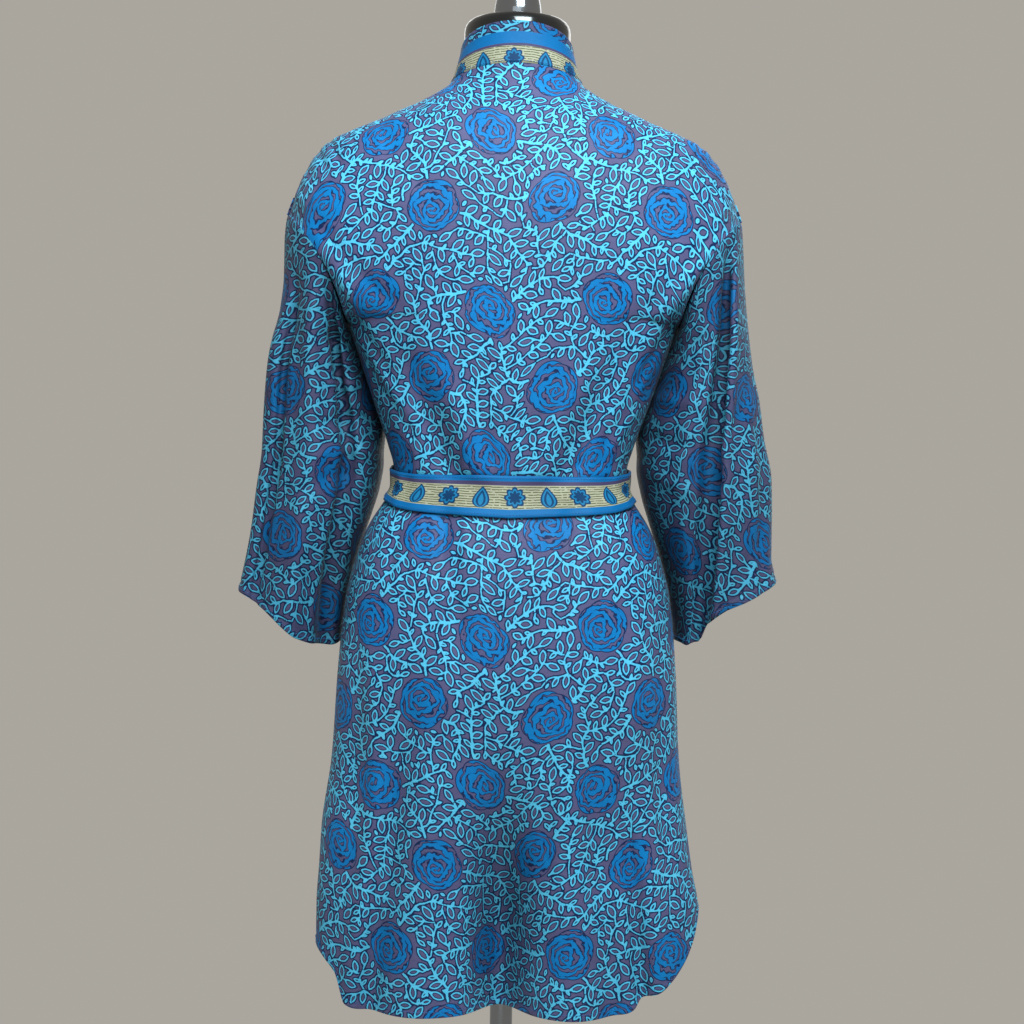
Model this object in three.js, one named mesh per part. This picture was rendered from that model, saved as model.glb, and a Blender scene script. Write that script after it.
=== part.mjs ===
// A short wrap robe of border-trimmed silk, worn by a limbless dress form on a pole stand.
// Millimetres, +Z up. The origin is the centre of the stand's underside. The wearer faces +Y,
// so the back of the robe is at -Y and the wearer's right sleeve is at +X.
import * as THREE from "three";

// ---------- driving dimensions ----------
const WALL = 1.6;              // thickness of each cloth wall
const SEAM = 0.3;              // gap between two pieces that are sewn together
const UNDERARM = 1190;         // height of the underarm point
const NOTCH = 1295;            // height at which the dropped shoulder ends
const UNDERARM_HALF = 166;     // half width of the body at the underarm
const NOTCH_HALF = 227;        // half width where the shoulder line meets the sleeve
const NECK_HALF = 66;          // half width of the neck seam
const NECK_BACK = 58;          // how far the neck seam lies behind the centre
const NECK_SEAM = 1429;        // height of the neck seam at the shoulders
const NECK_SEAM_RISE = 10;     // how much higher it is at the centre of the back
const ARMHOLE_BACK = 66;       // depth of the armhole behind the shoulder line
const ARMHOLE_FRONT = 70;      // and in front of it
const HEM = 515;               // height of the hem at the centre of the back
const BODY_POWER = 2.3;        // squareness of the body's cross-section, 2 being an ellipse
const UNDER_INSET = 4;         // how much deeper the under front lies than the over front
const BAND_WIDTH = 43;         // finished width of the neckband
const COLLAR_RADIUS = 56;      // plan radius of the standing collar's upper edge
const COLLAR_BACK_TOP = 1480.5;
const COLLAR_SIDE_TOP = 1461;
const COLLAR_LEAN = 1.25;      // how far the collar runs forwards towards its upper edge
const COLLAR_FRONT_TURN = 1.0; // radians that its upper edge goes on round the front
const BAND_LIES_FROM = 1.7;    // share of the front's rise below which the band lies flat
const ARMHOLE_BOW_ENDS = 0.3;  // share of the sleeve by which the armhole's curve fades out
const CUFF_HANGS_FROM = 0.55;  // share of the sleeve from which the cuff's own edge shows
const BAND_STANDS_ABOVE = 1300; // height from which it may stand off the body's section
const BAND_GAP = 0.45;         // the band's gap to a front, whose edge twists
const BAND_SLACK = 0.5;        // how far the band may sink into the body's section at the neck
const BELT_OUT = 2.7;          // clearance of the belt from the body under it
const BELT_WALL = 2.4;         // the sash is two layers of cloth
const TAIL_OUT = 1.2;          // clearance of the belt's tails from the front under them
const FORM_DROP = 5;           // how far the form's shoulder line lies under the robe's
const FORM_INSIDE = 6;         // how far the form's back and front lie within the robe's yoke
const FORM_POWER = 2.1;        // squareness of the form's cross-section

// ---------- resolution ----------
const ARMHOLE_STEPS = 12;      // rows between underarm and shoulder, and half a sleeve's points
const NECK_COLUMNS = 12;
const SIDE_COLUMNS = 9;
const FRONT_COLUMNS = 14;
const BAND_COLUMNS = 2;
const BELT_ROWS = 2;
const KNOT_POINTS = 16;
const TAIL_ROWS = 12;
const TAIL_COLUMNS = 2;
const FORM_POINTS = 30;
const WIDE_ROUND = 36;         // sides of the turned parts, by their size
const ROUND = 32;
const SMALL_ROUND = 20;
const POLE_ROUND = 16;
const EDGE_ROUNDS = 12;        // passes that find a front's free edge on a curved row

// ---------- tables ----------
function table(names, rows) {
  const keys = names.split(" ");
  return rows.map((row) => Object.fromEntries(row.map((value, i) => [keys[i], value])));
}

// A smooth curve through one column of a table that never overshoots its rows.
function curve(rows, key, column) {
  const x = rows.map((row) => row[key]);
  const y = rows.map((row) => row[column]);
  const last = x.length - 1;
  const slope = (i) => (y[i + 1] - y[i]) / (x[i + 1] - x[i]);
  const tangents = x.map((_, i) => {
    if (i === 0) return slope(0);
    if (i === last) return slope(last - 1);
    const [before, after] = [slope(i - 1), slope(i)];
    return before * after <= 0 ? 0 : (2 * before * after) / (before + after);
  });
  return (value) => {
    const at = Math.min(Math.max(value, x[0]), x[last]);
    let i = 0;
    while (i < last - 1 && at > x[i + 1]) i += 1;
    const span = x[i + 1] - x[i];
    const t = (at - x[i]) / span;
    const [t2, t3] = [t * t, t * t * t];
    return (2 * t3 - 3 * t2 + 1) * y[i] + (t3 - 2 * t2 + t) * span * tangents[i]
      + (3 * t2 - 2 * t3) * y[i + 1] + (t3 - t2) * span * tangents[i + 1];
  };
}

// Half widths to the side seams and depths behind and before the centre, below the underarm.
const BODY = table("height left right back front", [
  [515, 182, 196, 68, 92],
  [573, 187, 197, 72, 94],
  [612, 187, 196, 76, 96],
  [650, 185, 189, 80, 98],
  [690, 183, 183, 85, 100],
  [760, 174, 174, 95, 101],
  [850, 169, 169, 107, 102],
  [920, 162, 162, 106, 102],
  [963, 151, 151, 98, 99],
  [994, 140, 140, 86, 95],
  [1012, 131, 131, 79, 91],
  [1028, 120, 120, 78, 86],
  [1048, 118, 118, 80, 83],
  [1066, 122, 122, 83, 86],
  [1111, 137, 137, 91, 96],
  [1150, 151, 151, 96, 108],
  [1190, 166, 166, 100, 118],
]);

// Above the underarm: the outline of shoulders and sleeve heads, and the body's depths.
const YOKE = table("height half back front", [
  [1190, 232, 100, 118],
  [1240, 230, 103, 124],
  [1295, 227, 101, 112],
  [1317.5, 219, 99, 103],
  [1336, 211, 96, 96],
  [1354.5, 200, 92, 90],
  [1367.5, 187, 88, 86],
  [1376, 170, 85, 82],
  [1388.5, 140, 80, 77],
  [1404, 107, 70, 70],
  [1415.5, 84, 64, 66],
  [1429, 66, 58, 62],
  [1461, 56, 56, 56],
]);

// The shoulder line from the neck outwards, as the top edge of back and fronts.
const SHOULDER = table("x height", [
  [66, 1429], [84, 1415.5], [107, 1404], [140, 1388.5], [170, 1376], [187, 1367.5],
  [200, 1354.5], [211, 1336], [219, 1317.5], [227, 1295],
]);

// The armhole seam seen from behind: its distance from the centre at each share of its height.
const ARMHOLE = table("share x", [
  [0, 166], [0.12, 168.5], [0.3, 175], [0.5, 186], [0.74, 201.5], [0.9, 216], [1, 227],
]);

// The rounded hem. Place runs from the left side seam, -1, to the right one, 1.
const HEMLINE = table("place back front", [
  [-1, 573, 573], [-0.93, 560, 561], [-0.88, 549, 551], [-0.84, 521, 541], [-0.74, 516, 527],
  [-0.5, 515, 516], [0, 515, 515], [0.5, 515, 515], [0.6, 517, 517], [0.66, 521, 521],
  [0.7, 532, 527], [0.78, 537, 535], [0.86, 550, 549], [0.92, 567, 566], [0.96, 585, 585],
  [1, 612, 612],
]);

// Long folds of the body. Offsets from the centre at the low and high end, half width, and how
// far the fold stands out (or in, when negative) at its strong end. It dies away from there.
const BODY_FOLDS = table("side low high width depth lowHeight highHeight strong", [
  [-1, -2, -4, 27, -53.5, 515, 790, "low"],
  [-1, -84, -52, 30, 11, 515, 960, "low"],
  [-1, -128, -84, 13, -9, 515, 900, "low"],
  [-1, -150, -120, 12, 6, 515, 800, "low"],
  [-1, 70, 46, 26, 12, 515, 950, "low"],
  [-1, 108, 72, 13, -8, 515, 880, "low"],
  [-1, 139, 104, 9, -9, 515, 840, "low"],
  [-1, 160, 130, 13, 5, 515, 800, "low"],
  [-1, -30, -62, 12, -4, 770, 1000, "high"],
  [-1, 34, 60, 12, -4, 780, 1000, "high"],
  [-1, -62, -128, 15, -7, 1050, 1215, "low"],
  [-1, 60, 124, 15, -7, 1050, 1215, "low"],
  [-1, -32, -86, 14, 5, 1045, 1180, "low"],
  [-1, 30, 90, 14, 5, 1045, 1180, "low"],
  [1, -118, -70, 22, -10, 515, 930, "low"],
  [1, -60, -34, 24, 9, 515, 940, "low"],
  [1, 20, 8, 26, -8, 515, 900, "low"],
  [1, 88, 56, 24, 10, 515, 960, "low"],
  [1, 132, 96, 16, -9, 515, 880, "low"],
  [1, -88, -128, 16, -5, 1060, 1230, "low"],
  [1, 90, 130, 16, -5, 1060, 1230, "low"],
]);

// The seam between a front and its neckband, measured from the centre.
const FRONT_EDGE = table("height x", [
  [515, -60], [700, -50], [900, -38], [1040, -26], [1120, -10], [1190, 6], [1280, 28],
  [1340, 44], [1400, 61], [1429, 66],
]);

// Sleeve sections from the armhole to the cuff: the outer and the inner edge as the sleeve is
// seen from behind, its depth behind and before them, and how far its inner edge lies forwards.
const SLEEVE_COLUMNS = "outerX outerHeight innerX innerHeight back front lean";
const LEFT_SLEEVE = table(SLEEVE_COLUMNS, [
  [227, 1295, 166, 1190, 66, 70, 0],
  [229, 1268, 161.5, 1174, 65, 69, 10],
  [229, 1236, 153.5, 1152, 64, 68, 20],
  [232, 1203, 145.5, 1130, 63, 67, 27],
  [240, 1168, 137.5, 1107, 62, 66, 30],
  [245, 1132, 130.5, 1080, 61, 64, 30],
  [247, 1096, 128, 1052, 60, 62, 28],
  [248, 1061, 131.5, 1026, 59, 60, 26],
  [253, 1022, 141, 994, 58, 58, 26],
  [257, 986, 151, 963, 57, 56, 28],
  [261, 961, 158.5, 932, 56, 54, 30],
  [265, 941, 163.5, 903, 55, 52, 30],
  [269, 922, 167, 872, 54, 50, 30],
]);
const RIGHT_SLEEVE = table(SLEEVE_COLUMNS, [
  [227, 1295, 166, 1190, 66, 70, 0],
  [229, 1266, 161.5, 1174, 66, 69, 10],
  [231, 1230, 153, 1150, 66, 68, 20],
  [235, 1190, 145, 1127, 66, 67, 27],
  [240, 1154, 136.5, 1103, 66, 66, 30],
  [248, 1116, 129.5, 1076, 65, 64, 30],
  [253, 1080, 127.5, 1050, 64, 62, 28],
  [261, 1040, 132, 1024, 63, 60, 26],
  [262, 1004, 141, 994, 62, 58, 26],
  [262, 978, 151, 963, 61, 56, 28],
  [262, 962, 158.5, 933, 60, 54, 30],
  [265, 948, 163.5, 905, 59, 52, 30],
  [267, 938, 166.5, 878, 58, 50, 30],
]);

// How far the cuff's edge hangs below the line between its inner edge, across -1, and its outer
// edge, across 1: behind on the left and right sleeve, and in front on both.
const CUFF_DROP = table("across left right front", [
  [-1, 0, 0, 0], [-0.9, 6, 5, 4], [-0.78, 10, 11, 6], [-0.56, 13, 13.5, 9], [-0.44, 15, -5, 10],
  [-0.2, 15.5, -5, 10], [0.03, 12, -3.5, 9], [0.35, 5.5, -1, 8], [0.75, 0.5, 0, 4], [1, 0, 0, 0],
]);

// Long folds of the sleeves. Across is counted as above, and along runs from the armhole, 0, to
// the cuff, 1. The right sleeve's first two make one deep fold with a flap behind it.
const SLEEVE_FOLDS = table("sleeve side top cuff width depth start end", [
  [-1, -1, -0.2, -0.72, 0.16, -13, 0.1, 1.6],
  [-1, -1, 0.25, -0.1, 0.26, 8, 0.1, 1.6],
  [-1, -1, 0.6, 0.55, 0.16, -11, 0.2, 1.5],
  [-1, 1, 0.3, -0.3, 0.2, -9, 0.1, 1.5],
  [-1, 1, 0.7, 0.4, 0.2, 5, 0.2, 1.5],
  [1, -1, 0.7, -0.56, 0.12, -14, 0.06, 1.6],
  [1, -1, 0.92, -0.28, 0.17, 8, 0.1, 1.6],
  [1, -1, 0.1, -0.9, 0.14, 4, 0.2, 1.4],
  [1, 1, 0.4, -0.3, 0.2, -10, 0.1, 1.5],
  [1, 1, 0.75, 0.35, 0.2, 6, 0.2, 1.5],
]);

// The dress form under the robe, from hips to neck.
const FORM = table("height half back front", [
  [800, 146, 84, 82],
  [850, 152, 94, 88],
  [900, 148, 94, 88],
  [960, 128, 80, 82],
  [1030, 102, 64, 70],
  [1090, 112, 70, 78],
  [1150, 132, 80, 92],
  [1210, 148, 85, 104],
  [1270, 163, 86, 100],
  [1320, 173, 84, 86],
  [1347, 173, 82, 80],
  [1362, 168, 80, 78],
  [1371, 162, 78, 76],
  [1379, 154, 77, 75],
]);

// The belt's lower and upper edge round the waist, by the angle from the centre of the back.
const BELT = table("angle low high", [
  [0, 997, 1037.5], [45, 1003, 1038], [90, 1018, 1046], [135, 1026, 1058], [180, 1028, 1062],
]);

const SKIRT_HEIGHTS = [
  515, 552, 594, 640, 690, 744, 800, 854, 902, 944, 976, 1002, 1020, 1038, 1062, 1100, 1145, 1190,
];

// The tie: its middle height, its size, how far it nestles into the belt, and its crease.
const KNOT = { height: 1045, width: 52, depth: 26, tall: 44, nestle: 1.2, crease: 0.16 };
const TAIL_WIDTH = 38;
const TAIL_PINCH = 0.55;       // how much the tails are gathered under the knot
const TAIL_HANGS_FROM = 84;    // depth in front of the centre from which they hang free
const TAILS = table("name top low start finish slant wave", [
  ["belt_tail_left", 1021, 700, -13, -44, 12, 3],
  ["belt_tail_right", 1021, 672, 13, 40, -10, 4],
]);

const FORM_HEIGHTS = [
  800, 808, 850, 900, 945, 985, 1030, 1080, 1130, 1180, 1230, 1280, 1325, 1350, 1366,
  1377, 1389, 1401, 1413, 1425,
];
const NECK_RINGS = table("height radius", [[1440, 52.4], [1462, 52]]);

// Turned parts, from the middle of the underside round to the middle of the top.
const PROFILE = "radius height";
const CAP = table(PROFILE, [
  [0, 1462.3], [52.2, 1462.3], [53, 1464], [53, 1481], [51.6, 1487.2], [48, 1491.2], [44, 1492.4],
  [0, 1492.4],
]);
const FINIAL = table(PROFILE, [
  [0, 1492.7], [22, 1492.7], [23.3, 1496], [23.4, 1503], [22.2, 1513], [19.6, 1521],
  [14.5, 1528.5], [7, 1533.5], [0, 1534.8],
]);
const FLANGE = table(PROFILE, [
  [0, 783], [17, 783], [19, 785], [19, 792], [46, 795], [48, 797], [48, 799.7], [0, 799.7],
]);
const POLE = table(PROFILE, [[0, 44.3], [11.2, 44.3], [11.2, 782.7], [0, 782.7]]);
const BASE_COLLAR = table(PROFILE, [
  [0, 22.3], [30, 22.3], [30, 25], [26, 30], [19, 34], [17.5, 42], [16, 44], [0, 44],
]);
const BASE = table(PROFILE, [
  [0, 0], [156, 0], [160, 3], [160, 8], [157, 11], [120, 16], [70, 20.5], [34, 22], [0, 22],
]);

// ---------- colours ----------
const SILK = { color: 0x69607f, roughness: 0.55, metalness: 0 };
const BORDER = { color: 0xc9cba0, roughness: 0.6, metalness: 0 };
const JERSEY = { color: 0x17181b, roughness: 0.9, metalness: 0 };
const GLOSS_BLACK = { color: 0x0c0d10, roughness: 0.18, metalness: 0 };
const CHROME = { color: 0xc8ccd0, roughness: 0.12, metalness: 1 };

// ---------- small tools ----------
const lerp = THREE.MathUtils.lerp;
const point = (x, y, z) => new THREE.Vector3(x, y, z);
const quarter = Math.PI / 2;
const steps = (count) => Array.from({ length: count + 1 }, (_, i) => i / count);

function smooth(from, to, value) {
  const t = Math.min(Math.max((value - from) / (to - from), 0), 1);
  return t * t * (3 - 2 * t);
}

function arch(share, power) {
  return Math.pow(Math.max(1 - Math.pow(Math.min(Math.abs(share), 1), power), 0), 1 / power);
}

function bump(distance, width) {
  return Math.exp(-((distance / width) ** 2));
}

const bodyLeft = curve(BODY, "height", "left");
const bodyRight = curve(BODY, "height", "right");
const bodyBack = curve(BODY, "height", "back");
const bodyFront = curve(BODY, "height", "front");
const yokeHalf = curve(YOKE, "height", "half");
const yokeBack = curve(YOKE, "height", "back");
const yokeFront = curve(YOKE, "height", "front");
const shoulderHeight = curve(SHOULDER, "x", "height");
const armholeX = curve(ARMHOLE, "share", "x");
const hemBack = curve(HEMLINE, "place", "back");
const hemFront = curve(HEMLINE, "place", "front");
const frontEdge = curve(FRONT_EDGE, "height", "x");
const dropLeft = curve(CUFF_DROP, "across", "left");
const dropRight = curve(CUFF_DROP, "across", "right");
const dropFront = curve(CUFF_DROP, "across", "front");
const beltLow = curve(BELT, "angle", "low");
const beltHigh = curve(BELT, "angle", "high");
const formTableHalf = curve(FORM, "height", "half");
const formBack = curve(FORM, "height", "back");
const formFront = curve(FORM, "height", "front");

// ---------- the body of the robe ----------
// Side is -1 for the back and 1 for the front. Place runs across from side seam to side seam.
function bodyFolds(side, x, height) {
  let total = 0;
  for (const fold of BODY_FOLDS) {
    if (fold.side !== side) continue;
    const along = (height - fold.lowHeight) / (fold.highHeight - fold.lowHeight);
    const centre = lerp(fold.low, fold.high, along);
    const fade = fold.strong === "low"
      ? (1 - smooth(0.25, 1, along)) * smooth(-0.2, 0, along)
      : smooth(0, 0.75, along) * (1 - smooth(1, 1.15, along));
    total += fold.depth * fade * bump(x - centre, fold.width);
  }
  return total;
}

function skirtPoint(side, place, height) {
  const half = place < 0 ? bodyLeft(height) : bodyRight(height);
  const depth = side < 0 ? bodyBack(height) : bodyFront(height);
  const x = place * half;
  const folds = bodyFolds(side, x, height) * (1 - Math.abs(place) ** 12);
  return point(x, side * (depth * arch(place, BODY_POWER) + folds), height);
}

function topHeight(x) {
  const inNeck = Math.min(Math.abs(x) / NECK_HALF, 1);
  if (inNeck < 1) return NECK_SEAM + NECK_SEAM_RISE * (1 - inNeck ** 2);
  return shoulderHeight(Math.abs(x));
}

function armholeDepth(side, share) {
  const depth = side < 0 ? ARMHOLE_BACK : ARMHOLE_FRONT;
  return depth * Math.sqrt(Math.max(1 - (2 * share - 1) ** 2, 0));
}

// Share runs from the underarm, 0, to the shoulder line, 1.
function yokePoint(side, place, share) {
  const x = place * armholeX(share);
  const height = lerp(UNDERARM, topHeight(place * NOTCH_HALF), share);
  const full = side < 0 ? yokeBack(height) : yokeFront(height);
  const towardsOutline = smooth(0, 0.7, share);
  const profile = (at, reach) => lerp(arch(at, BODY_POWER), arch(reach, BODY_POWER), towardsOutline);
  const depth = full * profile(place, x / yokeHalf(height));
  const edgeHeight = lerp(UNDERARM, NOTCH, share);
  const edgeFull = side < 0 ? yokeBack(edgeHeight) : yokeFront(edgeHeight);
  const edgeDepth = edgeFull * profile(1, armholeX(share) / yokeHalf(edgeHeight));
  const mend = (armholeDepth(side, share) - edgeDepth) * Math.abs(place) ** 6;
  const folds = bodyFolds(side, x, height) * (1 - place ** 4) * smooth(1, 0.8, share);
  return point(x, side * Math.max(depth + mend + folds, 0), height);
}

// Rise runs from the hem, 0, over the underarm, 1, to the shoulder line, 2.
function bodyPoint(side, place, rise) {
  if (rise > 1) return yokePoint(side, place, rise - 1);
  const hem = side < 0 ? hemBack(place) : hemFront(place);
  return skirtPoint(side, place, lerp(hem, UNDERARM, rise));
}

// The under front lies inside the over front, and meets the side seam and shoulder in line.
function overFrontPoint(place, rise) {
  return bodyPoint(1, place, rise);
}

function underInset(place, rise) {
  return UNDER_INSET * smooth(0.97, 0.7, place) * smooth(2, 1.75, rise);
}

function underFrontPoint(place, rise) {
  const at = bodyPoint(1, place, rise);
  at.y = Math.max(at.y - underInset(place, rise), 0);
  return at;
}

// ---------- solids from walls ----------
function outwardNormal(surface, u, v, outward) {
  const step = 0.004;
  const [u0, u1] = [Math.max(u - step, surface.range[0]), Math.min(u + step, surface.range[1])];
  const [v0, v1] = [Math.max(v - step, surface.range[2]), Math.min(v + step, surface.range[3])];
  const across = surface.at(u1, v).sub(surface.at(u0, v));
  const along = surface.at(u, v1).sub(surface.at(u, v0));
  return across.cross(along).multiplyScalar(outward).normalize();
}

function closedSolid(points, faces) {
  let volume = 0;
  for (let i = 0; i < faces.length; i += 3) {
    const [a, b, c] = [points[faces[i]], points[faces[i + 1]], points[faces[i + 2]]];
    volume += a.dot(new THREE.Vector3().crossVectors(b, c));
  }
  const order = volume > 0 ? faces : [...faces].reverse();
  const geometry = new THREE.BufferGeometry();
  const places = points.flatMap((p) => p.toArray());
  geometry.setAttribute("position", new THREE.Float32BufferAttribute(places, 3));
  geometry.setIndex(order);
  geometry.computeVertexNormals();
  return geometry;
}

// A wall between an outer and an inner grid of points, open at both ends when it runs around.
function wallSolid(outer, inner, around = false) {
  const rows = outer.length;
  const columns = outer[0].length;
  const spans = around ? columns : columns - 1;
  const id = (layer, i, j) => (layer * rows + i) * columns + (j % columns);
  const faces = [];
  const quad = (a, b, c, d) => faces.push(a, b, c, a, c, d);
  for (let i = 0; i < rows - 1; i += 1) {
    for (let j = 0; j < spans; j += 1) {
      quad(id(0, i, j), id(0, i, j + 1), id(0, i + 1, j + 1), id(0, i + 1, j));
      quad(id(1, i, j), id(1, i + 1, j), id(1, i + 1, j + 1), id(1, i, j + 1));
    }
    if (around) continue;
    quad(id(0, i, 0), id(0, i + 1, 0), id(1, i + 1, 0), id(1, i, 0));
    quad(id(0, i + 1, spans), id(0, i, spans), id(1, i, spans), id(1, i + 1, spans));
  }
  const last = rows - 1;
  for (let j = 0; j < spans; j += 1) {
    quad(id(0, 0, j + 1), id(0, 0, j), id(1, 0, j), id(1, 0, j + 1));
    quad(id(0, last, j), id(0, last, j + 1), id(1, last, j + 1), id(1, last, j));
  }
  return closedSolid([...outer.flat(), ...inner.flat()], faces);
}

function piece(name, geometry, finish) {
  const mesh = new THREE.Mesh(geometry, new THREE.MeshStandardMaterial(finish));
  mesh.name = name;
  return mesh;
}

// ---------- back and fronts ----------
const SKIRT_RISES = SKIRT_HEIGHTS.map((height) => (height - HEM) / (UNDERARM - HEM));
const YOKE_RISES = steps(ARMHOLE_STEPS).slice(1).map((t) => 1 + (1 - Math.cos(t * Math.PI)) / 2);
const RISES = [...SKIRT_RISES, ...YOKE_RISES];
const NECK_PLACE = NECK_HALF / NOTCH_HALF;

// Direction from the body into the sleeve, square to the armhole's line.
function sleeveDirection(hand) {
  const fall = NOTCH - UNDERARM;
  const reach = NOTCH_HALF - UNDERARM_HALF;
  return point(hand * fall, 0, -reach).normalize();
}

// A body panel's wall. Each row holds its own places, so that its free edge can wander.
function panelSolid(side, surfaceAt, placesAt) {
  const surface = { at: surfaceAt, range: [-1, 1, 0, 2] };
  const outer = [];
  const inner = [];
  for (const rise of RISES) {
    const places = placesAt(rise);
    outer.push([]);
    inner.push([]);
    for (const place of places) {
      const at = surfaceAt(place, rise);
      const normal = outwardNormal(surface, place, rise, -side);
      const hand = Math.sign(place);
      const atSide = Math.abs(place) === 1;
      const onShoulder = rise === 2 && Math.abs(place) > NECK_PLACE - 1e-6;
      if ((atSide && rise <= 1) || onShoulder) normal.setY(0).normalize();
      if (atSide && rise > 1) {
        const into = sleeveDirection(hand);
        const lean = Math.min(normal.dot(into), 0);
        normal.addScaledVector(into, -lean).normalize();
        at.addScaledVector(into, -SEAM / 2);
      }
      const within = at.clone().addScaledVector(normal, -WALL);
      for (const each of [at, within]) each.y = side * Math.max(side * each.y, SEAM / 2);
      outer.at(-1).push(at);
      inner.at(-1).push(within);
    }
  }
  return wallSolid(outer, inner);
}

function sidePlaces(count) {
  const first = Math.asin(NECK_PLACE) / quarter;
  return steps(count).slice(1).map((t) => (t === 1 ? 1 : Math.sin(lerp(first, 1, t) * quarter)));
}

const NECK_PLACES = steps(NECK_COLUMNS).map((t) => {
  const [across, behind] = [Math.sin((2 * t - 1) * quarter), Math.cos((2 * t - 1) * quarter)];
  const size = Math.abs(across) ** BODY_POWER + Math.max(behind, 0) ** BODY_POWER;
  return (NECK_PLACE * across) / Math.pow(size, 1 / BODY_POWER);
});

function backPlaces() {
  const right = sidePlaces(SIDE_COLUMNS);
  return [...right.map((place) => -place).reverse(), ...NECK_PLACES, ...right];
}

function halfWidth(place, height, rise) {
  if (rise > 1) return armholeX(rise - 1);
  return place < 0 ? bodyLeft(height) : bodyRight(height);
}

// The place of a front's free edge on a row: hand is -1 for the over front, 1 for the under one.
function edgePlace(hand, rise) {
  if (rise === 2) return hand * NECK_PLACE;
  let place = hand * NECK_PLACE;
  for (let i = 0; i < EDGE_ROUNDS; i += 1) {
    const height = bodyPoint(1, place, rise).z;
    place = (hand * frontEdge(height)) / halfWidth(place, height, rise);
  }
  return place;
}

function frontPlaces(hand) {
  return (rise) => {
    const from = hand * quarter;
    const to = Math.asin(edgePlace(hand, rise));
    const across = steps(FRONT_COLUMNS).map((t) => (t === 0 ? hand : Math.sin(lerp(from, to, t))));
    return hand < 0 ? across : across.reverse();
  };
}

// ---------- sleeves ----------
function cuffDrop(hand, side, across) {
  if (side > 0) return dropFront(across);
  return hand < 0 ? dropLeft(across) : dropRight(across);
}

// How far a sleeve's folds stand out at a place across and along it.
function sleeveFolds(hand, side, across, along) {
  let total = 0;
  for (const fold of SLEEVE_FOLDS) {
    if (fold.sleeve !== hand || fold.side !== side) continue;
    const centre = lerp(fold.top, fold.cuff, along);
    const begins = smooth(0, fold.start + 0.15, along);
    const ends = 1 - smooth(fold.end - 0.3, fold.end, along);
    total += fold.depth * begins * ends * bump(across - centre, fold.width);
  }
  return total;
}

// The sleeves' sections share the armhole's points: turn 0 is the outer edge, then the back.
function sleevePoint(rows, hand, turn, along) {
  const last = rows.length - 1;
  const low = Math.min(Math.floor(along * last), last - 1);
  const mix = (column) => lerp(rows[low][column], rows[low + 1][column], along * last - low);
  const across = Math.cos(turn);
  const outward = (across + 1) / 2;
  const swing = Math.abs(Math.sin(turn));
  const side = Math.sin(turn) > 0 ? -1 : 1;
  const straight = lerp(UNDERARM_HALF, NOTCH_HALF, outward);
  const bow = (armholeX(outward) - straight) * (1 - smooth(0, ARMHOLE_BOW_ENDS, along));
  const x = lerp(mix("innerX"), mix("outerX"), outward) + bow;
  const drop = cuffDrop(hand, side, across) * smooth(CUFF_HANGS_FROM, 1, along);
  const height = lerp(mix("innerHeight"), mix("outerHeight"), outward) - drop;
  const full = side < 0 ? mix("back") : mix("front");
  const folds = sleeveFolds(hand, side, across, along) * Math.min(swing * 1.6, 1);
  return point(hand * x, side * (full * swing + folds) + mix("lean") * (1 - outward), height);
}

function sleeveSolid(rows, hand) {
  const surface = {
    at: (turn, along) => sleevePoint(rows, hand, turn, along),
    range: [-Infinity, Infinity, 0, 1],
  };
  const outer = [];
  const inner = [];
  for (const along of steps(rows.length - 1)) {
    outer.push([]);
    inner.push([]);
    for (let k = 0; k < 2 * ARMHOLE_STEPS; k += 1) {
      const turn = (k * Math.PI) / ARMHOLE_STEPS;
      const at = surface.at(turn, along);
      const normal = outwardNormal(surface, turn, along, hand);
      if (along === 0) {
        const into = sleeveDirection(hand);
        normal.addScaledVector(into, -normal.dot(into)).normalize();
        at.addScaledVector(into, SEAM / 2);
      }
      outer.at(-1).push(at);
      inner.at(-1).push(at.clone().addScaledVector(normal, -WALL));
    }
  }
  return wallSolid(outer, inner, true);
}

// ---------- neckband ----------
// The nearest point at or outside the body's own section at that height, plus a clearance.
function outsideBody(at, clearance) {
  const half = yokeHalf(at.z) + clearance;
  const depth = (at.y < 0 ? yokeBack(at.z) : yokeFront(at.z)) + clearance;
  const reach = Math.hypot(at.x / half, at.y / depth);
  if (reach < 1 && at.z > BAND_STANDS_ABOVE) {
    at.x /= reach;
    at.y /= reach;
  }
  return at;
}

// The standing collar's upper edge by the angle from the centre of the back.
function collarTop(angle) {
  const turn = angle * COLLAR_LEAN;
  const drop = (COLLAR_BACK_TOP - COLLAR_SIDE_TOP) * (turn / quarter) ** 2;
  const [x, behind] = [COLLAR_RADIUS * Math.sin(turn), COLLAR_RADIUS * Math.cos(turn)];
  return point(x, -behind, COLLAR_BACK_TOP - drop);
}

// The inner side of a strip, each point moved in along the strip's own normal.
function insideOf(rows, wall) {
  const lastRow = rows.length - 1;
  const lastColumn = rows[0].length - 1;
  const within = (i, last) => Math.min(Math.max(i, 0), last);
  const at = (i, j) => rows[within(i, lastRow)][within(j, lastColumn)];
  return rows.map((row, i) => row.map((p, j) => {
    const along = at(i + 1, j).clone().sub(at(i - 1, j));
    const across = at(i, j + 1).clone().sub(at(i, j - 1));
    return p.clone().addScaledVector(across.cross(along).normalize(), -wall);
  }));
}

// The band's rows from the right front's hem, round the back of the neck, to the left one's.
// It stands up at the neck and lies in line with the fronts from the chest down. Each row also
// keeps the outward normal of the panel that it is sewn to.
function bandRow(seam, normal, standing, lyingAt, lying, inset) {
  const outer = steps(BAND_COLUMNS).map((t) => {
    const stood = seam.clone().lerp(standing, t);
    stood.z += BAND_GAP;
    return outsideBody(stood.lerp(lyingAt(t), lying), -inset);
  });
  return { outer, normal };
}

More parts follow.
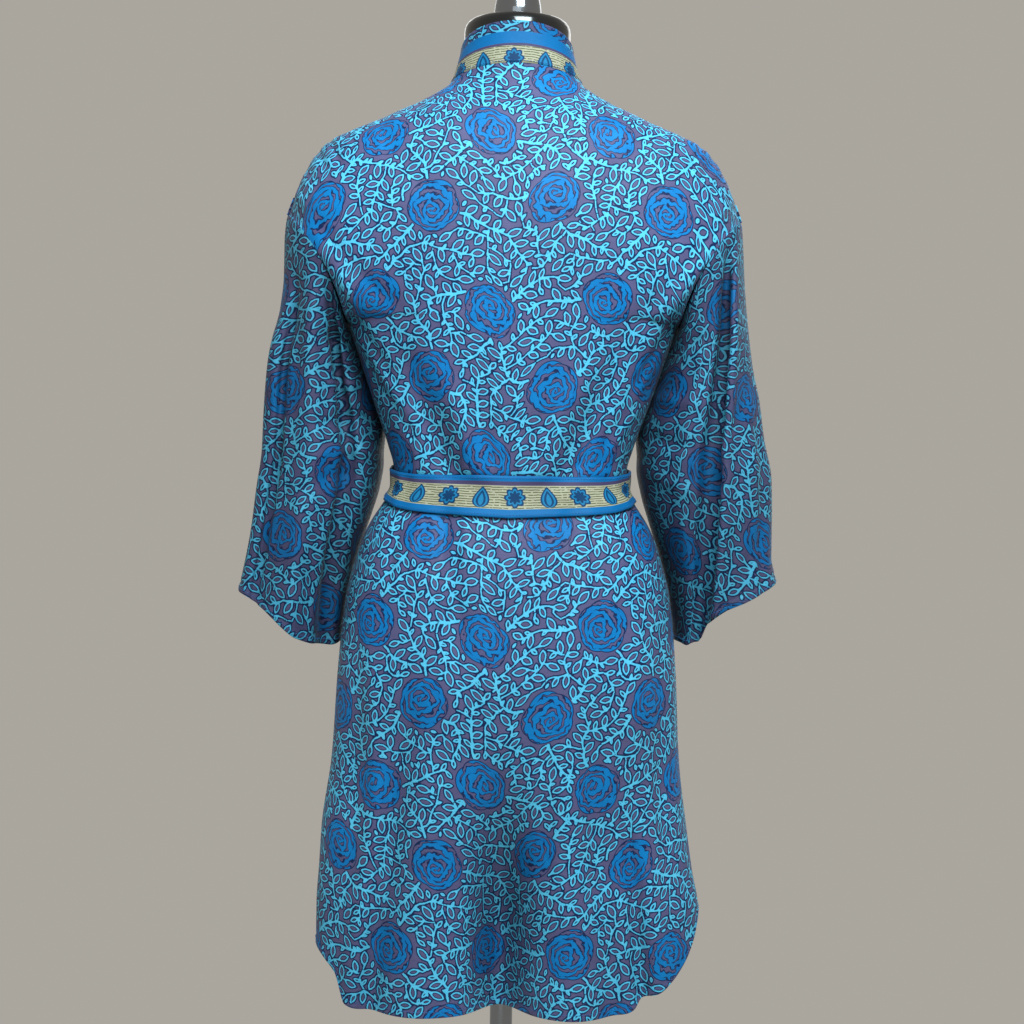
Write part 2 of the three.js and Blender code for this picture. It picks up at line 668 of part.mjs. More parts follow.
function frontBandRow(surfaceAt, hand, rise) {
  const place = edgePlace(hand, rise);
  const seam = surfaceAt(place, rise);
  const normal = outwardNormal({ at: surfaceAt, range: [-1, 1, 0, 2] }, place, rise, -1);
  const half = halfWidth(place, seam.z, rise);
  const lyingAt = (t) => surfaceAt(place - (hand * (BAND_GAP + t * BAND_WIDTH)) / half, rise);
  const sunk = smooth(2, BAND_LIES_FROM, rise);
  const standing = collarTop(hand * (quarter + sunk * COLLAR_FRONT_TURN));
  const inset = BAND_SLACK + (hand > 0 ? underInset(place, rise) : 0);
  return bandRow(seam, normal, standing, lyingAt, sunk, inset);
}

function backBandRow(place) {
  const backAt = (across, rise) => bodyPoint(-1, across, rise);
  const seam = backAt(place, 2);
  const normal = outwardNormal({ at: backAt, range: [-1, 1, 0, 2] }, place, 2, 1);
  const angle = Math.atan2(place / NECK_PLACE, -seam.y / NECK_BACK);
  return bandRow(seam, normal, collarTop(angle), () => seam, 0, BAND_SLACK);
}

function neckband() {
  const rows = [
    ...RISES.map((rise) => frontBandRow(underFrontPoint, 1, rise)),
    ...NECK_PLACES.slice(1, -1).reverse().map(backBandRow),
    ...RISES.map((rise) => frontBandRow(overFrontPoint, -1, rise)).reverse(),
  ];
  const outer = rows.map((row) => row.outer);
  const inner = insideOf(outer, WALL);
  rows.forEach((row, i) => {
    inner[i][0] = row.outer[0].clone().addScaledVector(row.normal, -WALL);
  });
  return wallSolid(outer, inner);
}

// ---------- belt ----------
// Angle runs from the centre of the back, 0, over either side, 90, to the front, 180.
function beltPoint(side, place, share, out) {
  const swing = THREE.MathUtils.radToDeg(Math.asin(Math.min(Math.abs(place), 1)));
  const angle = side < 0 ? swing : 180 - swing;
  const height = lerp(beltLow(angle), beltHigh(angle), share);
  const at = skirtPoint(side, place, height);
  const normal = point(at.x / bodyRight(height) ** 2, at.y / bodyBack(height) ** 2, 0).normalize();
  return at.addScaledVector(normal, out);
}

function beltSolid() {
  const round = [
    ...backPlaces().map((place) => [-1, place]),
    ...backPlaces().slice(1, -1).reverse().map((place) => [1, place]),
  ];
  const ring = (out) => steps(BELT_ROWS).map((share) => (
    round.map(([side, place]) => beltPoint(side, place, share, out))));
  return wallSolid(ring(BELT_OUT + BELT_WALL), ring(BELT_OUT), true);
}

// The tie at the front: a flattened round knot with a crease where the ends cross.
function knotSolid() {
  const geometry = new THREE.SphereGeometry(1, KNOT_POINTS, KNOT_POINTS / 2);
  const beltFront = (share) => beltPoint(1, 0, share, BELT_OUT + BELT_WALL).y;
  const proud = Math.max(...[0, 0.5, 1].map(beltFront));
  const centre = point(0, proud - KNOT.nestle + KNOT.depth / 2, KNOT.height);
  const position = geometry.getAttribute("position");
  for (let i = 0; i < position.count; i += 1) {
    const [x, y, z] = [position.getX(i), position.getY(i), position.getZ(i)];
    const square = 1 / Math.pow(Math.abs(x) ** 3 + Math.abs(y) ** 3 + Math.abs(z) ** 3, 1 / 3);
    const crease = 1 - KNOT.crease * bump(x - 0.5 * z, 0.2) * smooth(0, 0.5, y);
    position.setXYZ(
      i,
      centre.x + (x * square * KNOT.width) / 2,
      centre.y + (y * square * crease * KNOT.depth) / 2,
      centre.z + (z * square * KNOT.tall) / 2,
    );
  }
  return geometry;
}

// One tail of the belt, hanging from under the knot against the front.
function tailSolid(tail) {
  const rows = (out) => steps(TAIL_ROWS).map((along) => {
    const height = lerp(tail.top, tail.low, along);
    const centre = lerp(tail.start, tail.finish, along);
    const half = (TAIL_WIDTH / 2) * lerp(TAIL_PINCH, 1, smooth(0, 0.25, along));
    return steps(TAIL_COLUMNS).map((t) => {
      const x = centre + half * (2 * t - 1);
      const slant = (1 - t) * tail.slant * along;
      const at = skirtPoint(1, x / bodyRight(height), height - slant);
      const wave = tail.wave * Math.sin(along * Math.PI * 2.5) * smooth(0, 0.3, along);
      const hip = Math.max(at.y, TAIL_HANGS_FROM);
      return point(x, hip + out + Math.abs(wave), at.z);
    });
  });
  return wallSolid(rows(TAIL_OUT + BELT_WALL), rows(TAIL_OUT));
}

// ---------- the dress form ----------
function formHalf(height) {
  if (height < FORM.at(-1).height) return formTableHalf(height);
  return Math.min(yokeHalf(height + FORM_DROP), formTableHalf(FORM.at(-1).height));
}

function formDepth(side, height) {
  if (height < FORM.at(-1).height) return side < 0 ? formBack(height) : formFront(height);
  const robe = side < 0 ? yokeBack(height + FORM_DROP) : yokeFront(height + FORM_DROP);
  return robe - FORM_INSIDE;
}

function torsoSolid() {
  const ring = (half, back, front, height) => Array.from({ length: FORM_POINTS }, (_, k) => {
    const turn = (2 * Math.PI * k) / FORM_POINTS;
    const [c, s] = [Math.cos(turn), Math.sin(turn)];
    const reach = 1 / Math.pow(Math.abs(c) ** FORM_POWER + Math.abs(s) ** FORM_POWER, 1 / FORM_POWER);
    return point(half * c * reach, (s < 0 ? back : front) * s * reach, height);
  });
  const body = FORM_HEIGHTS.map((height) => (
    ring(formHalf(height), formDepth(-1, height), formDepth(1, height), height)));
  const neck = NECK_RINGS.map((row) => ring(row.radius, row.radius, row.radius, row.height));
  return cappedSolid([...body, ...neck]);
}

// Stacked rings closed by a flat cap at each end.
function cappedSolid(rings) {
  const count = rings[0].length;
  const points = rings.flat();
  const middle = (ring) => ring.reduce((sum, p) => sum.add(p), point(0, 0, 0)).divideScalar(count);
  const low = points.push(middle(rings[0])) - 1;
  const high = points.push(middle(rings.at(-1))) - 1;
  const faces = [];
  for (let k = 0; k < count; k += 1) {
    const next = (k + 1) % count;
    faces.push(low, next, k);
    const top = (rings.length - 1) * count;
    faces.push(high, top + k, top + next);
    for (let i = 0; i < rings.length - 1; i += 1) {
      const [a, b] = [i * count + k, i * count + next];
      faces.push(a, b, b + count, a, b + count, a + count);
    }
  }
  return closedSolid(points, faces);
}

function turned(profile, sides) {
  const outline = profile.map((row) => new THREE.Vector2(row.radius, row.height));
  return new THREE.LatheGeometry(outline, sides).rotateX(quarter);
}

const robe = new THREE.Group();
robe.add(
  piece("back_panel", panelSolid(-1, (place, rise) => bodyPoint(-1, place, rise), backPlaces), SILK),
  piece("front_left", panelSolid(1, overFrontPoint, frontPlaces(-1)), SILK),
  piece("front_right", panelSolid(1, underFrontPoint, frontPlaces(1)), SILK),
  piece("sleeve_left", sleeveSolid(LEFT_SLEEVE, -1), SILK),
  piece("sleeve_right", sleeveSolid(RIGHT_SLEEVE, 1), SILK),
  piece("neckband", neckband(), BORDER),
  piece("belt", beltSolid(), BORDER),
  piece("belt_knot", knotSolid(), BORDER),
);
for (const tail of TAILS) robe.add(piece(tail.name, tailSolid(tail), BORDER));

const stand = new THREE.Group();
stand.add(
  piece("form_torso", torsoSolid(), JERSEY),
  piece("neck_cap", turned(CAP, ROUND), GLOSS_BLACK),
  piece("neck_finial", turned(FINIAL, SMALL_ROUND), CHROME),
  piece("pole_flange", turned(FLANGE, SMALL_ROUND), CHROME),
  piece("pole", turned(POLE, POLE_ROUND), CHROME),
  piece("base_collar", turned(BASE_COLLAR, SMALL_ROUND), CHROME),
  piece("base_plate", turned(BASE, WIDE_ROUND), GLOSS_BLACK),
);

const part = new THREE.Group();
part.add(robe, stand);
export default part;
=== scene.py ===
"""A short wrap robe of printed silk on a limbless dress form, seen from behind.

The robe's shape comes from the same short tables as its solids. The tables and sizes of the pieces
and of the print are in millimetres, which free_mesh and build_mesh turn into metres. The stage, the
lights and the camera's place are in metres. The wearer faces +Y.
"""
import math

import bpy
import numpy as np
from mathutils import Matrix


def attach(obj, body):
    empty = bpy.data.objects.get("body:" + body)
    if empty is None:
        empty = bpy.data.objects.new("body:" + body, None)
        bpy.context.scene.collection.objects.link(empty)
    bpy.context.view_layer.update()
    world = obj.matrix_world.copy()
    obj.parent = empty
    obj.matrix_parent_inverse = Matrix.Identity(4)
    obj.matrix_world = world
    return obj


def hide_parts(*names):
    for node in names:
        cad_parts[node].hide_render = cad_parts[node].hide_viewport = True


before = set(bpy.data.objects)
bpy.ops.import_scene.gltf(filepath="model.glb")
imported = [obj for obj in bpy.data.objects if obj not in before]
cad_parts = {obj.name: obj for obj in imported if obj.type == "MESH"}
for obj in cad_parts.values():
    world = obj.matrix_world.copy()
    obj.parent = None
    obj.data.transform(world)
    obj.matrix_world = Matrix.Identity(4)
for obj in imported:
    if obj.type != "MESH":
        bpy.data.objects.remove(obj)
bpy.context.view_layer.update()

MM = 0.001
TWO_PI = 2 * math.pi

# ---------- driving sizes, as in the solids ----------
WALL = 1.6
UNDERARM = 1190.0
NOTCH = 1295.0
UNDERARM_HALF = 166.0
NOTCH_HALF = 227.0
NECK_HALF = 66.0
NECK_BACK = 58.0
NECK_SEAM = 1429.0
NECK_SEAM_RISE = 10.0
ARMHOLE_BACK = 66.0
ARMHOLE_FRONT = 70.0
BODY_POWER = 2.3
UNDER_INSET = 4.0
BAND_WIDTH = 43.0
COLLAR_RADIUS = 56.0
COLLAR_BACK_TOP = 1480.5
COLLAR_SIDE_TOP = 1461.0
COLLAR_LEAN = 1.25
COLLAR_FRONT_TURN = 1.0
BAND_LIES_FROM = 1.7
BAND_SLACK = 0.5
ARMHOLE_BOW_ENDS = 0.3
CUFF_HANGS_FROM = 0.55
BELT_WALL = 2.4
NECK_PLACE = NECK_HALF / NOTCH_HALF
QUARTER = math.pi / 2


def table(names, rows):
    """A short table as one array a column, by the column's name."""
    return dict(zip(names.split(), np.array(rows, float).T))


BODY = table("height left right back front", [
    (515, 182, 196, 68, 92), (573, 187, 197, 72, 94), (612, 187, 196, 76, 96),
    (650, 185, 189, 80, 98), (690, 183, 183, 85, 100), (760, 174, 174, 95, 101),
    (850, 169, 169, 107, 102), (920, 162, 162, 106, 102), (963, 151, 151, 98, 99),
    (994, 140, 140, 86, 95), (1012, 131, 131, 79, 91), (1028, 120, 120, 78, 86),
    (1048, 118, 118, 80, 83), (1066, 122, 122, 83, 86), (1111, 137, 137, 91, 96),
    (1150, 151, 151, 96, 108), (1190, 166, 166, 100, 118),
])
YOKE = table("height half back front", [
    (1190, 232, 100, 118), (1240, 230, 103, 124), (1295, 227, 101, 112), (1317.5, 219, 99, 103),
    (1336, 211, 96, 96), (1354.5, 200, 92, 90), (1367.5, 187, 88, 86), (1376, 170, 85, 82),
    (1388.5, 140, 80, 77), (1404, 107, 70, 70), (1415.5, 84, 64, 66), (1429, 66, 58, 62),
    (1461, 56, 56, 56),
])
SHOULDER = table("x height", [
    (66, 1429), (84, 1415.5), (107, 1404), (140, 1388.5), (170, 1376), (187, 1367.5),
    (200, 1354.5), (211, 1336), (219, 1317.5), (227, 1295),
])
ARMHOLE = table("share x", [
    (0, 166), (0.12, 168.5), (0.3, 175), (0.5, 186), (0.74, 201.5), (0.9, 216), (1, 227),
])
HEMLINE = table("place back front", [
    (-1, 573, 573), (-0.93, 560, 561), (-0.88, 549, 551), (-0.84, 521, 541), (-0.74, 516, 527),
    (-0.5, 515, 516), (0, 515, 515), (0.5, 515, 515), (0.6, 517, 517), (0.66, 521, 521),
    (0.7, 532, 527), (0.78, 537, 535), (0.86, 550, 549), (0.92, 567, 566), (0.96, 585, 585),
    (1, 612, 612),
])
BODY_FOLDS = [
    # side, centre at the low and high end, half width, depth, low and high end, strong end
    (-1, -2, -4, 27, -53.5, 515, 790, "low"),
    (-1, -84, -52, 30, 11, 515, 960, "low"),
    (-1, -128, -84, 13, -9, 515, 900, "low"),
    (-1, -150, -120, 12, 6, 515, 800, "low"),
    (-1, 70, 46, 26, 12, 515, 950, "low"),
    (-1, 108, 72, 13, -8, 515, 880, "low"),
    (-1, 139, 104, 9, -9, 515, 840, "low"),
    (-1, 160, 130, 13, 5, 515, 800, "low"),
    (-1, -30, -62, 12, -4, 770, 1000, "high"),
    (-1, 34, 60, 12, -4, 780, 1000, "high"),
    (-1, -62, -128, 15, -7, 1050, 1215, "low"),
    (-1, 60, 124, 15, -7, 1050, 1215, "low"),
    (-1, -32, -86, 14, 5, 1045, 1180, "low"),
    (-1, 30, 90, 14, 5, 1045, 1180, "low"),
    (1, -118, -70, 22, -10, 515, 930, "low"),
    (1, -60, -34, 24, 9, 515, 940, "low"),
    (1, 20, 8, 26, -8, 515, 900, "low"),
    (1, 88, 56, 24, 10, 515, 960, "low"),
    (1, 132, 96, 16, -9, 515, 880, "low"),
    (1, -88, -128, 16, -5, 1060, 1230, "low"),
    (1, 90, 130, 16, -5, 1060, 1230, "low"),
]
FRONT_EDGE = table("height x", [
    (515, -60), (700, -50), (900, -38), (1040, -26), (1120, -10), (1190, 6), (1280, 28),
    (1340, 44), (1400, 61), (1429, 66),
])
SLEEVE_COLUMNS = "outerX outerHeight innerX innerHeight back front lean"
LEFT_SLEEVE = table(SLEEVE_COLUMNS, [
    (227, 1295, 166, 1190, 66, 70, 0), (229, 1268, 161.5, 1174, 65, 69, 10),
    (229, 1236, 153.5, 1152, 64, 68, 20), (232, 1203, 145.5, 1130, 63, 67, 27),
    (240, 1168, 137.5, 1107, 62, 66, 30), (245, 1132, 130.5, 1080, 61, 64, 30),
    (247, 1096, 128, 1052, 60, 62, 28), (248, 1061, 131.5, 1026, 59, 60, 26),
    (253, 1022, 141, 994, 58, 58, 26), (257, 986, 151, 963, 57, 56, 28),
    (261, 961, 158.5, 932, 56, 54, 30), (265, 941, 163.5, 903, 55, 52, 30),
    (269, 922, 167, 872, 54, 50, 30),
])
RIGHT_SLEEVE = table(SLEEVE_COLUMNS, [
    (227, 1295, 166, 1190, 66, 70, 0), (229, 1266, 161.5, 1174, 66, 69, 10),
    (231, 1230, 153, 1150, 66, 68, 20), (235, 1190, 145, 1127, 66, 67, 27),
    (240, 1154, 136.5, 1103, 66, 66, 30), (248, 1116, 129.5, 1076, 65, 64, 30),
    (253, 1080, 127.5, 1050, 64, 62, 28), (261, 1040, 132, 1024, 63, 60, 26),
    (262, 1004, 141, 994, 62, 58, 26), (262, 978, 151, 963, 61, 56, 28),
    (262, 962, 158.5, 933, 60, 54, 30), (265, 948, 163.5, 905, 59, 52, 30),
    (267, 938, 166.5, 878, 58, 50, 30),
])
CUFF_DROP = table("across left right front", [
    (-1, 0, 0, 0), (-0.9, 6, 5, 4), (-0.78, 10, 11, 6), (-0.56, 13, 13.5, 9), (-0.44, 15, -5, 10),
    (-0.2, 15.5, -5, 10), (0.03, 12, -3.5, 9), (0.35, 5.5, -1, 8), (0.75, 0.5, 0, 4), (1, 0, 0, 0),
])
SLEEVE_FOLDS = [
    # sleeve, side, place at armhole and cuff, half width, depth, start and end along the sleeve
    (-1, -1, -0.2, -0.72, 0.16, -13, 0.1, 1.6),
    (-1, -1, 0.25, -0.1, 0.26, 8, 0.1, 1.6),
    (-1, -1, 0.6, 0.55, 0.16, -11, 0.2, 1.5),
    (-1, 1, 0.3, -0.3, 0.2, -9, 0.1, 1.5),
    (-1, 1, 0.7, 0.4, 0.2, 5, 0.2, 1.5),
    (1, -1, 0.7, -0.56, 0.12, -14, 0.06, 1.6),
    (1, -1, 0.92, -0.28, 0.17, 8, 0.1, 1.6),
    (1, -1, 0.1, -0.9, 0.14, 4, 0.2, 1.4),
    (1, 1, 0.4, -0.3, 0.2, -10, 0.1, 1.5),
    (1, 1, 0.75, 0.35, 0.2, 6, 0.2, 1.5),
]
BELT = table("angle low high", [
    (0, 997, 1037.5), (45, 1003, 1038), (90, 1018, 1046), (135, 1026, 1058), (180, 1028, 1062),
])


# ---------- small tools ----------
def lerp(a, b, t):
    return a + (b - a) * t


def smooth(start, end, value):
    t = np.clip((value - start) / (end - start), 0, 1)
    return t * t * (3 - 2 * t)


def arch(share, power):
    return np.maximum(1 - np.minimum(np.abs(share), 1) ** power, 0) ** (1 / power)


def bump(distance, width):
    return np.exp(-((distance / width) ** 2))


def curve(rows, key, column):
    """A smooth curve through one column of a table that never overshoots its rows."""
    x, y = rows[key], rows[column]
    slope = np.diff(y) / np.diff(x)
    tangent = np.empty(len(x))
    tangent[0], tangent[-1] = slope[0], slope[-1]
    before, after = slope[:-1], slope[1:]
    total = np.where(before + after == 0, 1, before + after)
    tangent[1:-1] = np.where(before * after <= 0, 0, 2 * before * after / total)

    def at(value):
        value = np.clip(value, x[0], x[-1])
        i = np.clip(np.searchsorted(x, value, side="right") - 1, 0, len(x) - 2)
        span = x[i + 1] - x[i]
        t = (value - x[i]) / span
        t2, t3 = t * t, t * t * t
        return (
            (2 * t3 - 3 * t2 + 1) * y[i] + (t3 - 2 * t2 + t) * span * tangent[i]
            + (3 * t2 - 2 * t3) * y[i + 1] + (t3 - t2) * span * tangent[i + 1]
        )

    return at


body_left = curve(BODY, "height", "left")
body_right = curve(BODY, "height", "right")
body_depth = {-1: curve(BODY, "height", "back"), 1: curve(BODY, "height", "front")}
yoke_half = curve(YOKE, "height", "half")
yoke_depth = {-1: curve(YOKE, "height", "back"), 1: curve(YOKE, "height", "front")}
shoulder_height = curve(SHOULDER, "x", "height")
armhole_x = curve(ARMHOLE, "share", "x")
hemline = {-1: curve(HEMLINE, "place", "back"), 1: curve(HEMLINE, "place", "front")}
front_edge = curve(FRONT_EDGE, "height", "x")
belt_low = curve(BELT, "angle", "low")
belt_high = curve(BELT, "angle", "high")
cuff_drops = {name: curve(CUFF_DROP, "across", name) for name in ("left", "right", "front")}


# ---------- the body of the robe ----------
def body_folds(side, x, height):
    total = np.zeros_like(x)
    for where, low, high, width, depth, low_height, high_height, strong in BODY_FOLDS:
        if where != side:
            continue
        along = (height - low_height) / (high_height - low_height)
        if strong == "low":
            fade = (1 - smooth(0.25, 1, along)) * smooth(-0.2, 0, along)
        else:
            fade = smooth(0, 0.75, along) * (1 - smooth(1, 1.15, along))
        total = total + depth * fade * bump(x - lerp(low, high, along), width)
    return total


def skirt_point(side, place, height):
    half = np.where(place < 0, body_left(height), body_right(height))
    x = place * half
    folds = body_folds(side, x, height) * (1 - np.abs(place) ** 12)
    y = side * (body_depth[side](height) * arch(place, BODY_POWER) + folds)
    return np.stack([x, y, height + 0 * x], -1)


def top_height(x):
    in_neck = np.minimum(np.abs(x) / NECK_HALF, 1)
    neck = NECK_SEAM + NECK_SEAM_RISE * (1 - in_neck ** 2)
    return np.where(in_neck < 1, neck, shoulder_height(np.abs(x)))


def yoke_point(side, place, share):
    x = place * armhole_x(share)
    height = lerp(UNDERARM, top_height(place * NOTCH_HALF), share)
    outline = smooth(0, 0.7, share)

    def profile(at, reach):
        return lerp(arch(at, BODY_POWER), arch(reach, BODY_POWER), outline)

    depth = yoke_depth[side](height) * profile(place, x / yoke_half(height))
    edge_height = lerp(UNDERARM, NOTCH, share)
    edge = yoke_depth[side](edge_height) * profile(1.0, armhole_x(share) / yoke_half(edge_height))
    armhole = (ARMHOLE_BACK if side < 0 else ARMHOLE_FRONT) * np.sqrt(
        np.maximum(1 - (2 * share - 1) ** 2, 0))
    mend = (armhole - edge) * np.abs(place) ** 6
    folds = body_folds(side, x, height) * (1 - place ** 4) * smooth(1, 0.8, share)
    return np.stack([x, side * np.maximum(depth + mend + folds, 0), height], -1)


def body_point(side, place, rise):
    """Rise runs from the hem, 0, over the underarm, 1, to the shoulder line, 2."""
    place, rise = np.broadcast_arrays(np.asarray(place, float), np.asarray(rise, float))
    skirt = skirt_point(side, place, lerp(hemline[side](place), UNDERARM, np.minimum(rise, 1)))
    yoke = yoke_point(side, place, np.maximum(rise - 1, 0))
    return np.where((rise > 1)[..., None], yoke, skirt)


def under_inset(place, rise):
    return UNDER_INSET * smooth(0.97, 0.7, place) * smooth(2, 1.75, rise)


def over_front(place, rise):
    return body_point(1, place, rise)


def under_front(place, rise):
    at = body_point(1, place, rise)
    at[..., 1] = np.maximum(at[..., 1] - under_inset(place, rise), 0)
    return at


def half_width(place, height, rise):
    skirt = np.where(place < 0, body_left(height), body_right(height))
    return np.where(rise > 1, armhole_x(np.maximum(rise - 1, 0)), skirt)


def edge_place(hand, rise):
    """The place of a front's free edge: hand is -1 for the over front, 1 for the under one."""
    place = np.full_like(rise, hand * NECK_PLACE)
    for _ in range(12):
        height = body_point(1, place, rise)[..., 2]
        place = hand * front_edge(height) / half_width(place, height, rise)
    return np.where(rise >= 2, hand * NECK_PLACE, place)


# ---------- sleeves ----------
def sleeve_point(rows, hand, turn, along):
    """Turn 0 is the sleeve's outer edge, then comes its back; along runs from armhole to cuff."""
    steps = np.linspace(0, 1, len(rows["lean"]))

    def mix(column):
        return curve({"at": steps, "value": rows[column]}, "at", "value")(along)

    across, swing = np.cos(turn), np.abs(np.sin(turn))
    outward = (across + 1) / 2
    side = np.where(np.sin(turn) > 0, -1, 1)
    straight = lerp(UNDERARM_HALF, NOTCH_HALF, outward)
    bow = (armhole_x(outward) - straight) * (1 - smooth(0, ARMHOLE_BOW_ENDS, along))
    x = lerp(mix("innerX"), mix("outerX"), outward) + bow
    behind = cuff_drops["left" if hand < 0 else "right"](across)
    drop = np.where(side < 0, behind, cuff_drops["front"](across))
    height = lerp(mix("innerHeight"), mix("outerHeight"), outward)
    height = height - drop * smooth(CUFF_HANGS_FROM, 1, along)
    depth = np.where(side < 0, mix("back"), mix("front")) * swing
    for sleeve, where, top, cuff, width, fold, start, end in SLEEVE_FOLDS:
        if sleeve != hand:
            continue
        centre = lerp(top, cuff, along)
        fade = smooth(0, start + 0.15, along) * (1 - smooth(end - 0.3, end, along))
        shape = fold * fade * bump(across - centre, width) * np.minimum(swing * 1.6, 1)
        depth = depth + np.where(side == where, shape, 0)
    return np.stack([hand * x, side * depth + mix("lean") * (1 - outward), height], -1)


# ---------- creases: listed soft troughs and ridges laid on -----------
# On the back: from and to (offset from the centre, height), half width, and height of the ridge.
BACK_CREASES = [
    (-205, 1290, -96, 1180, 9, -2.4), (-196, 1262, -120, 1150, 8, 2.0),
    (-178, 1225, -112, 1120, 7, -2.6), (-160, 1190, -96, 1085, 6, 2.2),
    (-148, 1160, -92, 1062, 6, -2.4), (-132, 1120, -84, 1050, 5, 1.8),
    (206, 1292, 104, 1172, 9, -2.4), (196, 1258, 122, 1148, 8, 2.2),
    (180, 1222, 110, 1112, 7, -2.8), (162, 1188, 100, 1078, 6, 2.2),
    (146, 1150, 90, 1058, 6, -2.2), (130, 1112, 82, 1050, 5, 1.6),
    (-150, 1380, -70, 1300, 12, -1.6), (146, 1380, 72, 1296, 12, -1.8),
    (-58, 1425, -24, 1330, 10, -1.4), (56, 1425, 30, 1320, 11, -1.2),
    (-96, 1044, -82, 1084, 4, 1.6), (-70, 1042, -60, 1100, 5, -2.0),
    (-46, 1042, -40, 1078, 4, 1.8), (-20, 1042, -18, 1092, 5, -1.6),
    (8, 1042, 6, 1076, 4, 1.6), (34, 1042, 40, 1098, 5, -1.8),
    (58, 1042, 66, 1080, 4, 1.8), (84, 1044, 98, 1094, 5, -1.8),
    (-104, 996, -118, 930, 5, -2.2), (-86, 996, -94, 950, 4, 1.8),
    (-62, 996, -70, 900, 6, -2.4), (-40, 996, -44, 944, 4, 2.0),
    (-16, 996, -14, 880, 6, -2.0), (10, 996, 12, 940, 4, 1.8),
    (30, 996, 38, 888, 6, -2.4), (56, 996, 64, 948, 4, 2.0),
    (78, 996, 92, 910, 6, -2.4), (100, 998, 116, 940, 5, 1.6),
    (-150, 900, -142, 620, 10, -2.6), (-128, 860, -116, 560, 9, 2.4),
    (-60, 820, -50, 560, 10, -2.0), (46, 860, 40, 640, 9, -2.4),
    (122, 900, 126, 600, 10, 2.6), (146, 880, 162, 640, 8, -2.8), (96, 780, 100, 540, 8, 2.0),
]
FRONT_CREASES = [
    (-200, 1288, -100, 1190, 9, -2.4), (-176, 1222, -108, 1120, 7, -2.4),
    (-150, 1166, -90, 1066, 6, 2.2), (202, 1288, 104, 1186, 9, -2.2),
    (174, 1218, 110, 1116, 7, -2.6), (152, 1160, 92, 1064, 6, 2.0),
    (-96, 1066, -86, 1110, 5, -1.8), (-66, 1066, -58, 1104, 4, 1.8), (72, 1066, 80, 1120, 5, -1.8),
    (98, 1066, 112, 1100, 4, 1.6), (-100, 1018, -112, 940, 5, -2.2), (-74, 1018, -82, 960, 4, 2.0),
    (-48, 1018, -54, 920, 6, -2.2), (50, 1018, 58, 930, 5, -2.2), (76, 1018, 88, 960, 4, 1.8),
    (104, 1018, 116, 930, 5, -2.0), (-146, 900, -140, 640, 10, -2.4), (-90, 840, -80, 560, 9, 2.2),
    (110, 860, 114, 600, 10, -2.4), (150, 880, 160, 650, 9, 2.4), (30, 880, 26, 640, 10, -2.0),
]
# On a sleeve: from and to (place across, share along), half width in mm, ridge height, side.
LEFT_SLEEVE_CREASES = [
    (-0.28, 0.1, -0.7, 1.1, 5, -6.0, -1), (-0.12, 0.12, -0.5, 1.1, 4, 3.4, -1),
    (0.66, 0.22, 0.68, 1.1, 4, -6.0, -1), (0.52, 0.16, 0.5, 1.1, 4, 3.4, -1),
    (0.9, 0.3, 0.93, 1.1, 4, 2.0, -1),
    (-0.9, 0.12, 0.1, 0.26, 7, -2.6, -1), (-0.95, 0.26, 0.0, 0.38, 7, 2.4, -1),
    (-0.95, 0.36, 0.2, 0.5, 8, -3.0, -1), (-0.9, 0.48, 0.1, 0.56, 6, 2.2, -1),
    (-0.6, 0.55, 0.5, 0.7, 8, -2.4, -1), (0.8, 0.1, 0.3, 0.42, 8, -2.2, -1),
    (0.9, 0.3, 0.5, 0.62, 8, 2.4, -1), (0.2, 0.6, -0.1, 1.0, 8, 2.0, -1),
    (-0.9, 0.15, 0.2, 0.3, 8, -2.6, 1), (-0.9, 0.34, 0.2, 0.5, 8, 2.4, 1),
    (0.6, 0.2, 0.2, 0.7, 9, -2.4, 1), (-0.3, 0.6, -0.5, 1.0, 8, 2.2, 1),
]
RIGHT_SLEEVE_CREASES = [
    (0.66, 0.06, -0.56, 1.1, 4, -7.0, -1), (0.78, 0.06, -0.42, 1.1, 4, 4.6, -1),
    (0.1, 0.14, -0.85, 1.1, 20, -4.5, -1), (0.95, 0.36, 0.6, 1.1, 5, -3.0, -1),
    (-0.9, 0.14, 0.3, 0.24, 7, -2.4, -1), (-0.95, 0.28, 0.1, 0.4, 7, 2.6, -1),
    (-0.95, 0.4, -0.1, 0.5, 7, -2.8, -1), (-0.85, 0.52, -0.2, 0.62, 7, 2.2, -1),
    (0.9, 0.34, 0.3, 0.5, 9, -2.2, -1), (0.85, 0.5, 0.1, 0.72, 9, 2.4, -1),
    (0.7, 0.7, 0.2, 0.98, 8, -2.2, -1), (-0.2, 0.75, -0.5, 1.0, 7, 2.2, -1),
    (-0.9, 0.15, 0.2, 0.3, 8, -2.6, 1), (-0.9, 0.34, 0.2, 0.5, 8, 2.4, 1),
    (0.6, 0.2, 0.2, 0.7, 9, -2.4, 1), (-0.3, 0.6, -0.5, 1.0, 8, 2.2, 1),
]


SLEEVE_LENGTH = 370.0
SLEEVE_REACH = 60.0


def crease_height(across, up, creases):
    """The sum of all creases at each point, each one fading towards both of its ends."""
    total = np.zeros_like(across)
    for x0, z0, x1, z1, width, height in creases:
        dx, dz = x1 - x0, z1 - z0
        length = math.hypot(dx, dz)
        along = ((across - x0) * dx + (up - z0) * dz) / length ** 2
        beside = ((across - x0) * dz - (up - z0) * dx) / length
        taper = smooth(-0.15, 0.25, along) * smooth(1.15, 0.6, along)
        wander = 0.25 * width * np.sin(along * 5 + x0)
        total = total + height * taper * bump(beside + wander, width)
    return total


